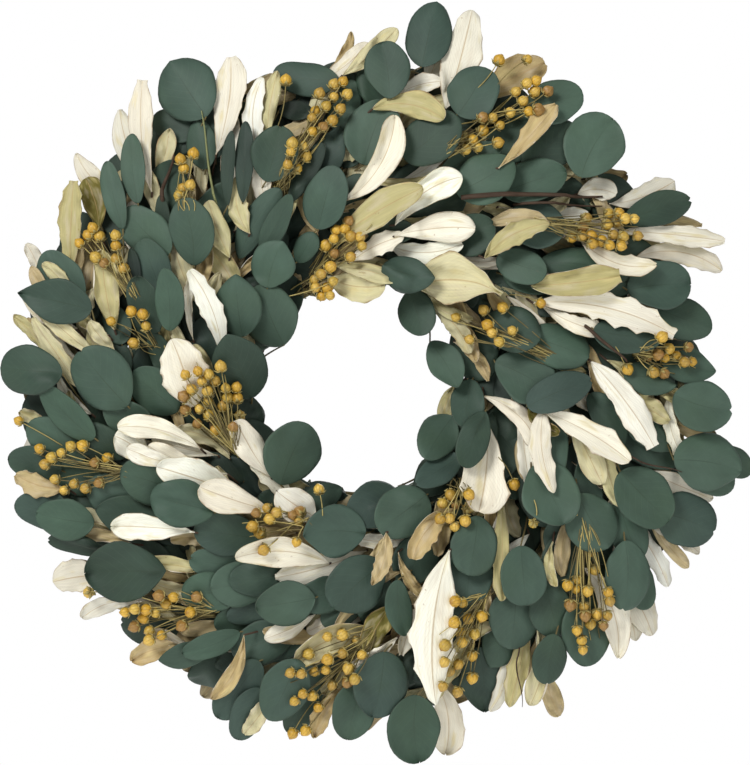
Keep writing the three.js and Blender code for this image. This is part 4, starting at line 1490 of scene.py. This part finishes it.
# ---- stage ----
FLOOR_DROP = 0.45  # metres below the lowest point of the CAD model
FLOOR_R = 2.3
FLOOR_SIDES = 96
FLOOR_GLOW = 0.35  # brings the floor near the white behind it
SKY_LIGHT = 0.3
LIGHTS = {  # place, size, watts
    "key": ((-1.1, -1.7, 1.0), 0.8, 38),
    "fill": ((1.3, -1.6, -0.1), 1.2, 8),
    "behind": ((0.5, 1.9, 0.7), 1.4, 26),
}
LENS = 100
SENSOR = 36
VIEW_HEIGHT = 0.57375  # what the frame shows, top to bottom, at the leaves' depth
VIEW_RIGHT = 0.01125  # the camera stands this far right of and above the ring's centre
VIEW_UP = 0.0041
LEAF_PLANE = 0.045


def make_floor():
    """A pale disc, small enough that a level camera does not see its far edge."""
    mesh = bpy.data.meshes.new("floor")
    z = cad_bounds[0][2] - FLOOR_DROP
    angles = [math.tau * i / FLOOR_SIDES for i in range(FLOOR_SIDES)]
    rim = [(FLOOR_R * math.cos(a), FLOOR_R * math.sin(a), z) for a in angles]
    mesh.from_pydata(rim, [], [list(range(FLOOR_SIDES))])
    floor = bpy.data.objects.new("floor", mesh)
    bpy.context.collection.objects.link(floor)
    shader = Shader("floor_pale", 0.85)
    shade = shader.span(shader.noise(3, 2.0), 0.3, 0.7, 0.9, 0.93)
    shader.surface.inputs["Emission Color"].default_value = (1, 1, 1, 1)
    shader.surface.inputs["Emission Strength"].default_value = FLOOR_GLOW
    mesh.materials.append(shader.finish(shader.grey(shade)))


def make_world(light):
    """White where the camera looks past the wreath, softer as a light."""
    world = bpy.data.worlds.new("studio")
    bpy.context.scene.world = world
    world.use_nodes = True
    nodes, links = world.node_tree.nodes, world.node_tree.links
    nodes.clear()
    seen, lit = nodes.new("ShaderNodeBackground"), nodes.new("ShaderNodeBackground")
    for background, strength in ((seen, 1.0), (lit, light)):
        background.inputs["Color"].default_value = (1, 1, 1, 1)
        background.inputs["Strength"].default_value = strength
    path = nodes.new("ShaderNodeLightPath")
    mix = nodes.new("ShaderNodeMixShader")
    output = nodes.new("ShaderNodeOutputWorld")
    links.new(path.outputs["Is Camera Ray"], mix.inputs[0])
    links.new(lit.outputs[0], mix.inputs[1])
    links.new(seen.outputs[0], mix.inputs[2])
    links.new(mix.outputs[0], output.inputs["Surface"])


def make_light(name, place, size, power):
    data = bpy.data.lights.new(name, "AREA")
    data.size = size
    data.energy = power
    light = bpy.data.objects.new(name, data)
    light.location = place
    aim = Vector((RING_X, RING_Y, RING_Z)) - light.location
    light.rotation_euler = aim.to_track_quat("-Z", "Y").to_euler()
    bpy.context.collection.objects.link(light)


def make_camera():
    data = bpy.data.cameras.new("camera")
    data.lens = LENS
    data.sensor_width = SENSOR
    camera = bpy.data.objects.new("camera", data)
    distance = VIEW_HEIGHT * LENS / SENSOR
    camera.location = (RING_X + VIEW_RIGHT, RING_Y - LEAF_PLANE - distance, RING_Z + VIEW_UP)
    camera.rotation_euler = (math.pi / 2, 0, 0)
    bpy.context.collection.objects.link(camera)
    bpy.context.scene.camera = camera


def make_stage():
    bpy.context.scene.view_settings.view_transform = "Standard"
    make_camera()
    make_world(SKY_LIGHT)
    for name, (place, size, power) in LIGHTS.items():
        make_light(name, place, size, power)
    make_floor()


make_stage()
materials = make_materials()
grow_sprigs(materials)
make_wires(materials)
